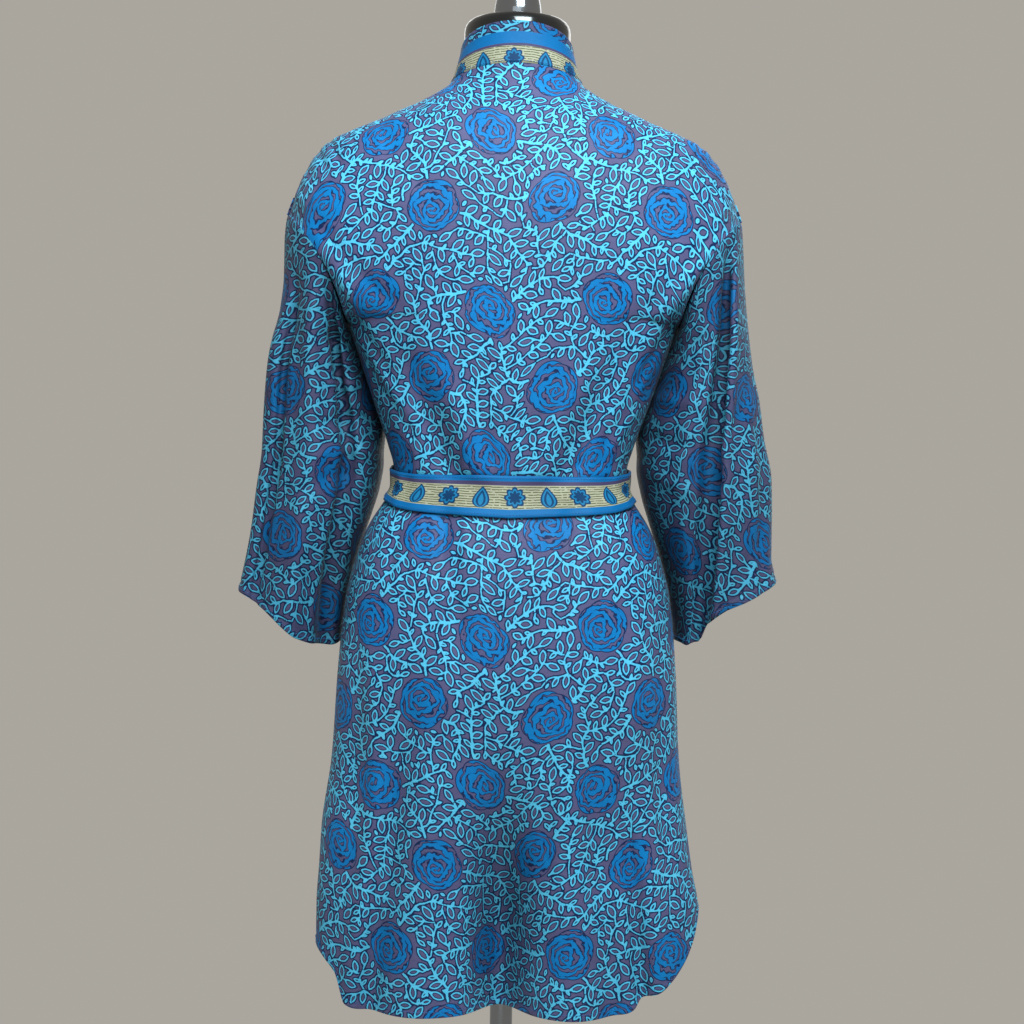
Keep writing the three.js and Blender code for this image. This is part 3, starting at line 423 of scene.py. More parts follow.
def sleeve_creases(turn, along, creases):
    """Creases of a sleeve, placed on its back, -1, or its front, 1."""
    total = np.zeros_like(turn)
    across, down = np.cos(turn) * SLEEVE_REACH, along * SLEEVE_LENGTH
    side = np.where(np.sin(turn) > 0, -1, 1)
    fade = np.minimum(np.abs(np.sin(turn)) * 2.5, 1)
    scale = np.array([SLEEVE_REACH, SLEEVE_LENGTH, SLEEVE_REACH, SLEEVE_LENGTH])
    for *ends, width, height, where in creases:
        crease = crease_height(across, down, [(*(ends * scale), width, height)])
        total = total + np.where(side == where, crease, 0)
    return total * fade


# ---------- grids ----------
def closed_round(points):
    """A grid with its first column again as its last one."""
    return np.concatenate([points, points[:, :1]], 1)


def grid_normals(points, closed=False):
    """Unit normals of a grid; rows run up and columns to the right seen from outside."""
    if closed:
        wide = np.concatenate([points[:, -1:], closed_round(points)], 1)
        across = wide[:, 2:] - wide[:, :-2]
    else:
        across = np.gradient(points, axis=1)
    along = np.gradient(points, axis=0)
    normal = np.cross(across, along)
    size = np.linalg.norm(normal, axis=-1, keepdims=True)
    return normal / np.maximum(size, 1e-9)


def even_out(values, axis, reach):
    """The running mean of values along an axis."""
    values = np.moveaxis(values, axis, 0)
    padded = np.concatenate([values[:1]] * (reach + 1) + [values] + [values[-1:]] * reach)
    total = np.cumsum(padded, 0)
    return np.moveaxis((total[2 * reach + 1:] - total[:-2 * reach - 1]) / (2 * reach + 1), 0, axis)


STEP_REACH = 24        # rows over which the steps across are evened out
SLACK_REACH = 8        # columns over which the slack of the climb is evened out


def flat_cloth(points, centre):
    """Where each point of a grid lies on the flat cloth, so that the print keeps its size."""
    steps = np.hypot(np.diff(points[..., 0], axis=1), np.diff(points[..., 1], axis=1))
    steps = even_out(steps, 0, STEP_REACH)
    across = np.concatenate([np.zeros((len(points), 1)), np.cumsum(steps, 1)], 1)
    across = across - across[:, centre:centre + 1]
    rises = np.diff(points[..., 2], axis=0)
    climbs = np.sign(rises) * np.hypot(rises, np.diff(points[..., 1], axis=0))
    slack = np.cumsum(even_out(climbs - rises, 1, SLACK_REACH), 0)
    up = points[..., 2] + np.concatenate([0 * slack[:1], slack], 0)
    return np.stack([across, up], -1)


# How the hem turns under: how far it drops, how far it lies inside, share of its depth.
HEM_SECTION = [(0.5, 0.25, 0), (0.55, 0.9, 0), (0.1, 1.3, 0.05), (0, 1.3, 0.5), (0, 1.2, 1)]
HEM_DEPTH = 8.0


def fold_hem(points, normals, flat):
    """Rows turned under a grid's first row, as a hem on the inside."""
    down = points[0] - points[3]
    down = down / np.linalg.norm(down, axis=-1, keepdims=True)
    inward = -normals[0]
    rows, cloth = [], []
    for drop, in_by, run in HEM_SECTION:
        up = HEM_DEPTH * run
        rows.append(points[0] + down * drop + inward * in_by - down * up)
        cloth.append(flat[0] - np.array([0, up + 1.0]))
    return np.concatenate([rows[::-1], points]), np.concatenate([cloth[::-1], flat])


def pressed_hem(edge):
    """The line of stitches sinks in above a hem, whose double cloth stands out a little."""
    return 0.3 * smooth(HEM_DEPTH, HEM_DEPTH - 2, edge) - 0.5 * bump(edge - HEM_DEPTH, 1.6)


def new_object(name, data):
    """An object of the scene that shows that data."""
    made = bpy.data.objects.new(name, data)
    bpy.context.scene.collection.objects.link(made)
    return made


def free_mesh(name, points, faces):
    """A piece made of the faces listed between points in millimetres."""
    mesh = bpy.data.meshes.new(name)
    mesh.from_pydata((points * MM).tolist(), [], faces)
    return new_object(name, mesh)


def build_mesh(name, points, corners):
    """A quad mesh on a grid of points in millimetres, with vector attributes on its corners."""
    rows, columns = points.shape[:2]
    index = np.arange(rows * columns).reshape(rows, columns)
    quads = np.stack([index[:-1, :-1], index[:-1, 1:], index[1:, 1:], index[1:, :-1]], -1)
    quads = quads.reshape(-1, 4)
    mesh = bpy.data.meshes.new(name)
    mesh.vertices.add(rows * columns)
    mesh.vertices.foreach_set("co", (points.reshape(-1) * MM).astype(np.float32))
    mesh.loops.add(quads.size)
    mesh.loops.foreach_set("vertex_index", quads.reshape(-1).astype(np.int32))
    mesh.polygons.add(len(quads))
    mesh.polygons.foreach_set("loop_start", np.arange(0, quads.size, 4, dtype=np.int32))
    mesh.polygons.foreach_set("use_smooth", np.ones(len(quads), bool))
    mesh.update(calc_edges=True)
    for label, values in corners.items():
        layer = mesh.attributes.new(label, "FLOAT_VECTOR", "CORNER")
        layer.data.foreach_set("vector", values.reshape(-1).astype(np.float32))
    return new_object(name, mesh)


def corner_values(values):
    """The values of a grid at the four corners of each of its quads."""
    cells = [values[:-1, :-1], values[:-1, 1:], values[1:, 1:], values[1:, :-1]]
    return np.stack(cells, 2).reshape(-1, 4, values.shape[-1])


# ---------- the printed repeat: roses among leafy twigs ----------
REPEAT = np.array([228.0, 318.0])
CELL = 0.5
LEAF_WIDTH = 0.25      # half width of a leaf as a share of its length
LEAF_CURVE = (0.25 + LEAF_WIDTH ** 2) / (2 * LEAF_WIDTH)
STEM_STEP = 4.8
TWIG_REACH = 5.8       # half the cloth that a twig claims beside itself for its leaves
SPRIG_REACH = 3.2
LEAF_ENDS = (15, 13, 11, 9, 8)     # lengths tried for the leaf at a twig's end
LEAF_NEEDS, LEAF_CLAIMS = 0.85, 0.45   # the free margin that a leaf needs, and what it takes up
TWIG_TRIES, SPRIG_TRIES, LOOSE_LEAF_TRIES = 1500, 2400, 2200
ROSE_MARGIN = 0.9
MARK_WINDOW = 15.0     # no mark shapes the cloth further than this from its middle
# Centre and turn of each rose in one repeat, and its radius.
ROSES = [
    (38, 40, 20, 25.5), (150, 30, 200, 26), (96, 104, 95, 25), (204, 112, 320, 26),
    (40, 176, 250, 26), (148, 186, 60, 25.5), (92, 262, 160, 26), (206, 254, 10, 25),
]


def heading(angle):
    return np.array([math.cos(angle), math.sin(angle)])


class Repeat:
    """One repeat of the print: twigs grow over the free cloth, then leaves grow from them."""

    def __init__(self, seed):
        self.random = np.random.default_rng(seed)
        self.shape = (REPEAT / CELL).astype(int)
        self.claimed = np.zeros(self.shape, bool)
        self.taken = np.zeros(self.shape, bool)
        self.leaves, self.stems, self.joints = [], [], []
        run, across = np.meshgrid(np.linspace(0, 1, 25), np.linspace(-1, 1, 13), indexing="ij")
        reach = np.sqrt(LEAF_CURVE ** 2 - (run - 0.5) ** 2) - LEAF_CURVE + LEAF_WIDTH
        self.leaf_spots = np.stack([run, across * reach], -1).reshape(-1, 2)
        angle, out = np.meshgrid(np.linspace(0, TWO_PI, 260), np.linspace(0, 1, 60))
        self.disc = np.stack([out * np.cos(angle), out * np.sin(angle)], -1)
        self.small_disc = self.disc[::6, ::8]
        for x, y, _, radius in ROSES:
            self.mark(self.taken, [x, y] + self.disc * (radius + ROSE_MARGIN))
            self.mark(self.claimed, [x, y] + self.disc * (radius + ROSE_MARGIN))

    def cells(self, spots):
        at = np.floor(np.mod(spots, REPEAT) / CELL).astype(int)
        at = np.minimum(at, self.shape - 1).reshape(-1, 2)
        return at[:, 0], at[:, 1]

    def mark(self, layer, spots):
        layer[self.cells(spots)] = True

    def is_free(self, layer, spots):
        return not layer[self.cells(spots)].any()

    def anywhere(self):
        """A random place in the repeat and a random direction."""
        return self.random.uniform(0, 1, 2) * REPEAT, self.random.uniform(0, TWO_PI)

    # ----- twigs
    def grow_twig(self, layer, reach, at, angle, width, bend, longest):
        """Grows one twig until its way is barred, and returns the side shoots it could have."""
        at = np.array(at, float)
        shoots, path = [], []
        near, far = (reach + 0.8, reach + 6.0) if layer is self.claimed else (1.6, reach + 4.5)
        run, aside = np.meshgrid(np.linspace(near, far, 6), np.linspace(-0.45, 0.45, 5))
        for step in range(longest):
            for turn in (bend, bend + 0.3, bend - 0.3, bend + 0.6, bend - 0.6, bend + 0.9, bend - 0.9):
                ahead = angle + turn + aside
                if self.is_free(layer, at + np.stack([run * np.cos(ahead), run * np.sin(ahead)], -1)):
                    break
            else:
                break
            angle += turn + self.random.normal(0, 0.22)
            path.append((at, angle, width))
            at, width = at + heading(angle) * STEM_STEP, max(width * 0.95, 0.62)
            if step % 2 == 1:
                hand = 1 if (step // 2) % 2 else -1
                slant = hand * self.random.uniform(0.75, 1.1)
                shoots.append((at, angle + slant, width * 0.85, -hand * 0.06))
        for start, angle_here, width_here in path:
            middle = start + heading(angle_here) * STEM_STEP / 2
            self.stems.append((*middle, angle_here, width_here))
            self.joints.append((start, angle_here, width_here, len(self.joints), len(path)))
            self.mark(self.claimed, start + self.disc[::2, ::4] * reach)
            aside, run = np.meshgrid([-0.8, 0, 0.8], np.linspace(-STEM_STEP / 2, STEM_STEP / 2, 12))
            line = run[..., None] * heading(angle_here) + aside[..., None] * heading(angle_here + QUARTER)
            self.mark(self.taken, middle + line)
        if path:
            self.joints.append((at, angle, width, -1, len(path)))
        return shoots

    def grow_twigs(self):
        waiting = []
        for x, y, turn, radius in ROSES:
            for extra in (0.4, 2.5, 4.6):
                angle = math.radians(turn) + extra
                start = [x, y] + (radius + ROSE_MARGIN + 0.5) * heading(angle)
                waiting.append((start, angle + 0.3, 1.15, self.random.uniform(-0.08, 0.08)))
        for _ in range(TWIG_TRIES):
            if waiting:
                waiting += self.grow_twig(self.claimed, TWIG_REACH, *waiting.pop(0), 10)
                continue
            at, angle = self.anywhere()
            if self.is_free(self.claimed, at + self.small_disc * 2):
                waiting.append((at, angle, 0.95, self.random.uniform(-0.1, 0.1)))

    def grow_sprigs(self):
        """Short sprigs in what cloth the leaves of the twigs have left over."""
        for _ in range(SPRIG_TRIES):
            at, angle = self.anywhere()
            if not self.is_free(self.taken, at + self.small_disc * 1.4):
                continue
            stems, joints, leaves = len(self.stems), len(self.joints), len(self.leaves)
            self.grow_twig(self.taken, SPRIG_REACH, at, angle, 0.75, self.random.uniform(-0.2, 0.2), 4)
            self.grow_leaves(self.joints[joints:], ((10.5, 9.5), (8.5, 7.5), (6.5,)))
            if len(self.leaves) == leaves:
                del self.stems[stems:], self.joints[joints:]

    # ----- leaves
    def leaf_area(self, at, angle, length, margin):
        spots = self.leaf_spots * (length + margin) + np.sign(self.leaf_spots) * [0, margin]
        return at + spots[:, :1] * heading(angle) + spots[:, 1:] * heading(angle + QUARTER)

    def try_leaf(self, at, angle, length, root):
        """Places a leaf where its area is free, apart from its root over the twig."""
        spots = self.leaf_area(at, angle, length, LEAF_NEEDS)
        if not self.is_free(self.taken, spots[self.leaf_spots[:, 0] * length > root]):
            return False
        self.leaves.append((*(at + length / 2 * heading(angle)), angle, length))
        self.mark(self.taken, self.leaf_area(at, angle, length, LEAF_CLAIMS))
        return True

    def leaf_from(self, at, angle, slants, lengths, root):
        for length in lengths:
            for slant in slants:
                if self.try_leaf(at, angle + slant, length * self.random.uniform(0.93, 1.07), root):
                    return True
        return False

    def grow_leaves(self, joints, sizes):
        for at, angle, width, number, _ in joints:
            if number < 0:
                self.leaf_from(at - 1.5 * heading(angle), angle, (0, 0.3, -0.3, 0.6, -0.6), LEAF_ENDS, 2.8)
        for lengths in sizes:
            for at, angle, width, number, _ in joints:
                if number < 0:
                    continue
                for hand in (1, -1) if number % 2 else (-1, 1):
                    slants = [hand * slant for slant in (0.65, 0.5, 0.85, 1.05, 0.35)]
                    place = at + heading(angle) * self.random.uniform(-1.2, 1.2)
                    self.leaf_from(place, angle, slants, lengths, 2.3 + width)

    def ring_roses(self):
        """Small leaves that close up to the roses."""
        for x, y, turn, radius in ROSES:
            for angle in np.arange(0, TWO_PI, 0.12) + math.radians(turn):
                at = [x, y] + (radius + ROSE_MARGIN + 1.2) * heading(angle)
                self.leaf_from(at, angle, (0.7, -0.7, 1.0, -1.0, 0.3, 0), (10, 8.5, 7, 5.8), 0)

    def fill(self):
        self.grow_twigs()
        self.grow_leaves(self.joints, ((14.5, 13), (11.5, 10), (8.5, 7.2), (6,)))
        self.ring_roses()
        self.grow_sprigs()
        for length in (9.5, 8.0, 6.5, 5.5):
            for _ in range(LOOSE_LEAF_TRIES):
                self.try_leaf(*self.anywhere(), length, 0)
        self.leaves, self.stems = np.array(self.leaves), np.array(self.stems)
        self.nearest_leaf, self.second_leaf = self.nearest(self.leaves, self.leaf_distance)
        self.nearest_stem, _ = self.nearest(self.stems, self.stem_distance)

    @staticmethod
    def leaf_distance(x, y, size):
        centre = LEAF_CURVE - LEAF_WIDTH
        return (np.hypot(x / size, np.abs(y / size) + centre) - LEAF_CURVE) * size

    @staticmethod
    def stem_distance(x, y, size):
        return np.hypot(np.maximum(np.abs(x) - STEM_STEP / 2, 0), y) - size

    def nearest(self, marks, distance):
        """The numbers of the nearest and the second nearest mark to each cell of the repeat."""
        best, second = np.full(self.shape, 1e5), np.full(self.shape, 1e6)
        first_number, second_number = np.zeros(self.shape, int), np.zeros(self.shape, int)
        window = np.arange(-int(MARK_WINDOW / CELL), int(MARK_WINDOW / CELL))
        for number, (x, y, angle, size) in enumerate(marks):
            i, j = int(x / CELL) + window, int(y / CELL) + window
            dx, dy = (i[:, None] + 0.5) * CELL - x, (j[None, :] + 0.5) * CELL - y
            c, s = math.cos(angle), math.sin(angle)
            value = distance(dx * c + dy * s, dy * c - dx * s, size)
            where = np.ix_(i % self.shape[0], j % self.shape[1])
            old, old_number = best[where], first_number[where]
            closer = value < old
            pushed = np.where(closer, old, value)
            pushed_number = np.where(closer, old_number, number)
            best[where] = np.minimum(value, old)
            first_number[where] = np.where(closer, number, old_number)
            behind = pushed < second[where]
            second_number[where] = np.where(behind, pushed_number, second_number[where])
            second[where] = np.minimum(pushed, second[where])
        return first_number, second_number

    def local(self, corners, marks, numbers):
        """Corner places in the frame of each quad's own mark, and the mark's size."""
        mark = marks[numbers]
        centre = corners.mean(1)
        offset = np.mod(centre - mark[:, :2] + REPEAT / 2, REPEAT) - REPEAT / 2
        at = corners - centre[:, None] + offset[:, None]
        c, s = np.cos(mark[:, 2])[:, None], np.sin(mark[:, 2])[:, None]
        x, y = at[..., 0] * c + at[..., 1] * s, at[..., 1] * c - at[..., 0] * s
        return x, y, mark[:, 3][:, None] + 0 * x

    def marks_on(self, corners):
        """The print's corner attributes for quads whose corners lie there on the flat cloth."""
        cells = self.cells(corners.mean(1))
        found = {"cloth": np.concatenate([corners, 0 * corners[..., :1]], -1)}
        for name, numbers in (("leaf", self.nearest_leaf), ("leaf2", self.second_leaf)):
            x, y, size = self.local(corners, self.leaves, numbers[cells])
            found[name] = np.stack([x / size, y / size, size], -1)
        found["stem"] = np.stack(self.local(corners, self.stems, self.nearest_stem[cells]), -1)
        roses = np.array(ROSES, float)
        roses[:, 2] = np.radians(roses[:, 2])
        gap = np.mod(corners.mean(1)[:, None] - roses[None, :, :2] + REPEAT / 2, REPEAT) - REPEAT / 2
        nearest = np.argmin(np.hypot(gap[..., 0], gap[..., 1]), 1)
        x, y, size = self.local(corners, roses, nearest)
        found["rose"] = np.stack([x / size, y / size, nearest[:, None] + 0.5 + 0 * x], -1)
        return found


repeat = Repeat(7)
repeat.fill()


# ---------- materials ----------
class Shader:
    """A material's node tree, built by short calls."""

    def __init__(self, name):
        self.material = bpy.data.materials.new(name)
        self.material.use_nodes = True
        self.tree = self.material.node_tree
        self.tree.nodes.clear()
        self.surface = self.add("ShaderNodeBsdfPrincipled")
        output = self.add("ShaderNodeOutputMaterial")
        self.tree.links.new(self.surface.outputs[0], output.inputs[0])

    def add(self, kind, **settings):
        node = self.tree.nodes.new(kind)
        for key, value in settings.items():
            setattr(node, key, value)
        return node

    def feed(self, socket, value):
        if isinstance(value, bpy.types.NodeSocket):
            self.tree.links.new(value, socket)
        elif value is not None:
            socket.default_value = value

    def math(self, operation, a, b=None, c=None):
        node = self.add("ShaderNodeMath", operation=operation)
        for socket, value in zip(node.inputs, (a, b, c)):
            self.feed(socket, value)
        return node.outputs[0]

    def attribute(self, name):
        node = self.add("ShaderNodeAttribute", attribute_name=name)
        parts = self.add("ShaderNodeSeparateXYZ")
        self.tree.links.new(node.outputs["Vector"], parts.inputs[0])
        return node.outputs["Vector"], parts.outputs

    def length(self, x, y):
        square = self.math("MULTIPLY_ADD", x, x, self.math("MULTIPLY", y, y))
        return self.math("SQRT", square)

    def below(self, value, edge, soft=0.2):
        """1 where value is under the edge, with a soft step."""
        node = self.add("ShaderNodeMapRange", interpolation_type="SMOOTHSTEP")
        limits = {"From Min": edge - soft, "From Max": edge + soft, "To Min": 1.0, "To Max": 0.0}
        for name, number in limits.items():
            node.inputs[name].default_value = number
        self.feed(node.inputs["Value"], value)
        return node.outputs[0]

    def scaled(self, vector, by):
        node = self.add("ShaderNodeVectorMath", operation="SCALE")
        self.feed(node.inputs[0], vector)
        self.feed(node.inputs["Scale"], by)
        return node.outputs[0]

    def bumped(self, height, strength, distance):
        """The normal over that height, whose distance is in mm."""
        node = self.add("ShaderNodeBump")
        node.inputs["Strength"].default_value = strength
        node.inputs["Distance"].default_value = distance * MM
        self.feed(node.inputs["Height"], height)
        return node.outputs[0]

    def finish(self, values):
        """Feeds the surface's inputs by their names and returns the material."""
        for name, value in values.items():
            self.feed(self.surface.inputs[name], value)
        return self.material

    def mix(self, share, a, b):
        node = self.add("ShaderNodeMix", data_type="RGBA")
        colours = [s for s in node.inputs if s.type == "RGBA"]
        self.feed(node.inputs[0], share)
        self.feed(colours[0], a)
        self.feed(colours[1], b)
        return [s for s in node.outputs if s.type == "RGBA"][0]

    def noise(self, scale, detail=2.0, vector=None):
        node = self.add("ShaderNodeTexNoise")
        node.inputs["Scale"].default_value = scale
        node.inputs["Detail"].default_value = detail
        if vector is None:
            vector = self.add("ShaderNodeTexCoord").outputs["Object"]
        self.feed(node.inputs["Vector"], vector)
        return node.outputs[0]


def srgb(red, green, blue):
    """An 8-bit screen colour as the linear colour that a shader takes."""
    def linear(value):
        value = value / 255
        return value / 12.92 if value <= 0.04045 else ((value + 0.055) / 1.055) ** 2.4
    return (linear(red), linear(green), linear(blue), 1.0)


GROUND = srgb(102, 99, 142)
GROUND_DARK = srgb(86, 83, 124)
NAVY = srgb(12, 38, 86)
CYAN = srgb(78, 198, 246)
CYAN_PALE = srgb(106, 214, 250)
ROSE = srgb(0, 138, 210)
ROSE_DEEP = srgb(0, 114, 190)
CREAM = srgb(210, 206, 178)
OLIVE = srgb(100, 102, 62)
BAND_BLUE = srgb(0, 126, 200)
BAND_PURPLE = srgb(90, 80, 122)
MOTIF_DARK = srgb(4, 72, 124)
MOTIF_LIGHT = srgb(30, 146, 204)


def leaf_gap(s, name):
    """Distance in mm from the edge of a leaf, negative inside it."""
    _, leaf = s.attribute(name)
    beside = s.math("ADD", s.math("ABSOLUTE", leaf[1]), LEAF_CURVE - LEAF_WIDTH)
    return s.math("MULTIPLY", s.math("SUBTRACT", s.length(leaf[0], beside), LEAF_CURVE), leaf[2])


# Widths in mm: the dark outlines, the pale rim round each leaf, the line inside that rim, and
# how far leaves and twigs run together.
LINE = 1.25
LEAF_RIM = 1.4
INNER_LINE = 0.8
WEB = 3.0


def print_colour(s):
    """The ground with its leafy twigs and roses."""
    ground = s.mix(s.noise(60, 3), GROUND_DARK, GROUND)
    leaves = s.math("MINIMUM", leaf_gap(s, "leaf"), leaf_gap(s, "leaf2"))
    _, stem = s.attribute("stem")
    past = s.math("MAXIMUM", s.math("SUBTRACT", s.math("ABSOLUTE", stem[0]), STEM_STEP / 2), 0.0)
    stem_gap = s.math("SUBTRACT", s.length(past, stem[1]), stem[2])
    uneven = s.math("MULTIPLY_ADD", s.noise(420, 1.0), 0.8, -0.4)
    gap = s.math("ADD", s.math("SMOOTH_MIN", leaves, stem_gap, WEB), uneven)
    colour = s.mix(s.below(gap, LINE), ground, NAVY)
    cyan = s.mix(s.noise(90, 2), CYAN, CYAN_PALE)
    colour = s.mix(s.below(gap, 0.0), colour, cyan)
    off_stem = s.math("SUBTRACT", 1.0, s.below(stem_gap, 0.6))
    inside = s.math("ADD", leaves, uneven)
    inner = s.math("MULTIPLY", s.below(inside, -LEAF_RIM), off_stem)
    colour = s.mix(inner, colour, NAVY)
    core = s.math("MULTIPLY", s.below(inside, -LEAF_RIM - INNER_LINE), off_stem)
    colour = s.mix(core, colour, ground)
    return rose_over(s, colour, ground)


ROSE_SIZE = 25.5
ROSE_TURNS = 4.2       # how often the petals wind round from the middle to the edge
ROSE_PETALS = 2.6      # petals in each turn
ROSE_SHIFT = (0.14, 0.2)
SLIVER = 1.15          # half width in mm of the ground that shows between two petals
SLIVER_LINE = 0.9
ROSE_CLEAR = 0.8       # how far the ground shows beside a rose's rim


def rose_over(s, colour, ground):
    """A rose of petals wound in a spiral, laid over the colour within its own radius."""
    vector, rose = s.attribute("rose")
    out = s.length(rose[0], rose[1])
    pull = s.math("SUBTRACT", 1.0, s.math("MINIMUM", out, 1.0))
    x = s.math("MULTIPLY_ADD", pull, -ROSE_SHIFT[0], rose[0])
    y = s.math("MULTIPLY_ADD", pull, -ROSE_SHIFT[1], rose[1])
    turn = s.math("MULTIPLY", s.math("ARCTAN2", y, x), 1 / TWO_PI)
    waves = s.math("MULTIPLY_ADD", s.noise(3.6, 1.2, vector), 1.5, -0.75)
    wound = s.math("SUBTRACT", s.math("MULTIPLY_ADD", s.length(x, y), ROSE_TURNS, waves), turn)
    ring = s.math("ROUND", wound)
    off_line = s.math("ABSOLUTE", s.math("SUBTRACT", wound, ring))
    off_line = s.math("MULTIPLY", off_line, ROSE_SIZE / ROSE_TURNS)
    petal = s.math("FRACT", s.math("MULTIPLY_ADD", s.math("ADD", ring, turn), ROSE_PETALS, rose[2]))
    along = s.math("MULTIPLY_ADD", petal, 2.0, -1.0)
    sliver = s.math("MULTIPLY_ADD", s.math("MULTIPLY", along, along), -1.9 * SLIVER, SLIVER)
    between = s.math("SUBTRACT", off_line, sliver)
    lobe = s.math("FRACT", s.math("MULTIPLY_ADD", turn, 5.0, rose[2]))
    lobe = s.math("MULTIPLY_ADD", lobe, 2.0, -1.0)
    scallop = s.math("MULTIPLY_ADD", s.math("MULTIPLY", lobe, lobe), -0.09, 1.0)
    rim = s.math("MULTIPLY", s.math("SUBTRACT", out, scallop), ROSE_SIZE)
    petals = s.mix(s.noise(70, 2), ROSE, ROSE_DEEP)
    face = s.mix(s.below(between, SLIVER_LINE), petals, NAVY)
    face = s.mix(s.below(between, 0.0), face, ground)
    face = s.mix(s.below(rim, -SLIVER_LINE), NAVY, face)
    face = s.mix(s.below(rim, 0.0), ground, face)
    return s.mix(s.below(rim, ROSE_CLEAR), colour, face)


PAINTED_HOLLOW_SHADE = 0.3     # painted shade: the share of its colour that the cloth keeps in the deepest hollow
PAINTED_SHADE_REACH = 70.0    # how far away cloth still adds to the painted shade of a hollow
THREAD = 0.7           # spacing of the weave's threads, in mm


def silk(name, colour_of, depth=1.0, roughness=0.55):
    """Thin printed silk: slubs along its weft, a fine weave and a soft sheen, with painted shade that
    darkens its colour in hollows.
    """
    s = Shader(name)
    _, cloth = s.attribute("cloth")
    slub_place = s.add("ShaderNodeCombineXYZ")
    s.feed(slub_place.inputs[0], s.math("MULTIPLY", cloth[0], 0.06))
    s.feed(slub_place.inputs[1], s.math("MULTIPLY", cloth[1], 1.3))
    slubs = s.noise(1.0, 2.0, slub_place.outputs[0])
    shade = s.math("MULTIPLY_ADD", slubs, 0.3, 0.85)
    shade = s.math("MULTIPLY", shade, s.math("MULTIPLY_ADD", s.noise(9, 3.0), 0.3, depth - 0.15))
    tint = s.scaled(colour_of(s), shade)
    # painted shade: ambient occlusion darkens the cloth's colour in its hollows and creases
    hollow = s.add("ShaderNodeAmbientOcclusion", samples=6)
    hollow.inputs["Distance"].default_value = PAINTED_SHADE_REACH * MM
    s.feed(hollow.inputs["Color"], tint)
    painted_shade = s.math("MULTIPLY_ADD", hollow.outputs["AO"], 1 - PAINTED_HOLLOW_SHADE, PAINTED_HOLLOW_SHADE)
    threads = s.math("MULTIPLY", s.math("SINE", s.math("MULTIPLY", cloth[0], TWO_PI / THREAD)),
                     s.math("SINE", s.math("MULTIPLY", cloth[1], TWO_PI / THREAD)))
    crumple = s.math("MULTIPLY", s.noise(55, 3.0), 6.0)
    height = s.math("ADD", s.math("MULTIPLY_ADD", threads, 0.25, slubs), crumple)
    return s.finish({
        "Base Color": s.scaled(tint, painted_shade), "Roughness": roughness, "Specular IOR Level": 0.16,
        "Sheen Weight": 0.04, "Sheen Roughness": 0.4, "Normal": s.bumped(height, 0.45, 0.25)})


def plain(name, colour, roughness, metallic=0.0, coat=0.0, variation=0.04, grain=0.0):
    """A smooth finish with faint handling marks, or a knitted grain of that depth in mm."""
    s = Shader(name)
    darker = tuple(part * 0.78 for part in colour[:3]) + (1.0,)
    marks = s.math("MULTIPLY_ADD", s.noise(24, 4.0), variation * 2, roughness - variation)
    uneven = s.noise(1400 if grain else 60, 2.0)
    return s.finish({
        "Base Color": s.mix(s.noise(30, 4.0), darker, colour), "Roughness": marks,
        "Metallic": metallic, "Coat Weight": coat, "Coat Roughness": 0.05,
        "Normal": s.bumped(uneven, 0.5 if grain else 0.04, max(grain, 0.05))})


BAND_REPEAT = 64.0
FLOWER_AT = 16.0       # where a flower's middle lies in the border's repeat
DROP_AT = 48.0
DROP_TALL = 21.0


def motif_colour(s, along, up, centre, colour):
    """Flowers and drops by turns along a border, laid over the colour."""
    phase = s.math("FRACT", s.math("DIVIDE", along, BAND_REPEAT))
    x = s.math("MULTIPLY_ADD", phase, BAND_REPEAT, -FLOWER_AT)
    y = s.math("SUBTRACT", up, centre)
    out = s.length(x, y)
    lobes = s.math("ABSOLUTE", s.math("COSINE", s.math("MULTIPLY", s.math("ARCTAN2", y, x), 4.0)))
    rim = s.math("MULTIPLY_ADD", lobes, 2.6, 8.0)
    petal = s.math("SUBTRACT", out, rim)
    colour = s.mix(s.below(petal, 0.0), colour, MOTIF_DARK)
    colour = s.mix(s.below(s.math("ABSOLUTE", s.math("ADD", petal, 3.0)), 1.0), colour, MOTIF_LIGHT)
    colour = s.mix(s.below(out, 3.2), colour, MOTIF_DARK)
    x = s.math("MULTIPLY_ADD", phase, BAND_REPEAT, -DROP_AT)
    tall = s.math("MULTIPLY_ADD", y, 1 / DROP_TALL, 0.5)
    taper = s.math("MAXIMUM", s.math("SUBTRACT", 1.0, tall), 0.0)
    width = s.math("MULTIPLY", s.math("SQRT", s.math("MAXIMUM", tall, 0.0)), taper)
    drop = s.math("MULTIPLY_ADD", width, -DROP_TALL, s.math("ABSOLUTE", x))
    colour = s.mix(s.below(drop, 0.0), colour, MOTIF_DARK)
    colour = s.mix(s.below(s.math("ABSOLUTE", s.math("ADD", drop, 2.6)), 0.9), colour, MOTIF_LIGHT)
    return s.mix(s.below(drop, -5.6), colour, MOTIF_LIGHT)


def cream_colour(s, vector, up):
    """Cream cloth with fine broken lines woven along it."""
    wander = s.math("MULTIPLY_ADD", s.noise(0.09, 2.0, vector), 2.4, up)
    line = s.math("FRACT", s.math("DIVIDE", wander, 2.5))
    broken = s.math("GREATER_THAN", s.noise(0.35, 2.0, vector), 0.4)
    share = s.math("MULTIPLY", s.below(line, 0.36, 0.12), broken)
    return s.mix(share, CREAM, OLIVE)


def border_colour(bands, centre):
    """Bands across a border, from its lower edge up: (upper edge in mm, kind)."""
    def colour_of(s):
        vector, band = s.attribute("band")
        along, up = band[0], band[1]
        kinds = {"blue": BAND_BLUE, "purple": BAND_PURPLE}
        kinds["cream"] = motif_colour(s, along, up, centre, cream_colour(s, vector, up))
        if any(kind == "print" for _, kind in bands):
            kinds["print"] = print_colour(s)
        colour = kinds[bands[-1][1]]
        for edge, kind in reversed(bands[:-1]):
            colour = s.mix(s.below(up, edge, 0.15), colour, kinds[kind])
        return colour
    return colour_of


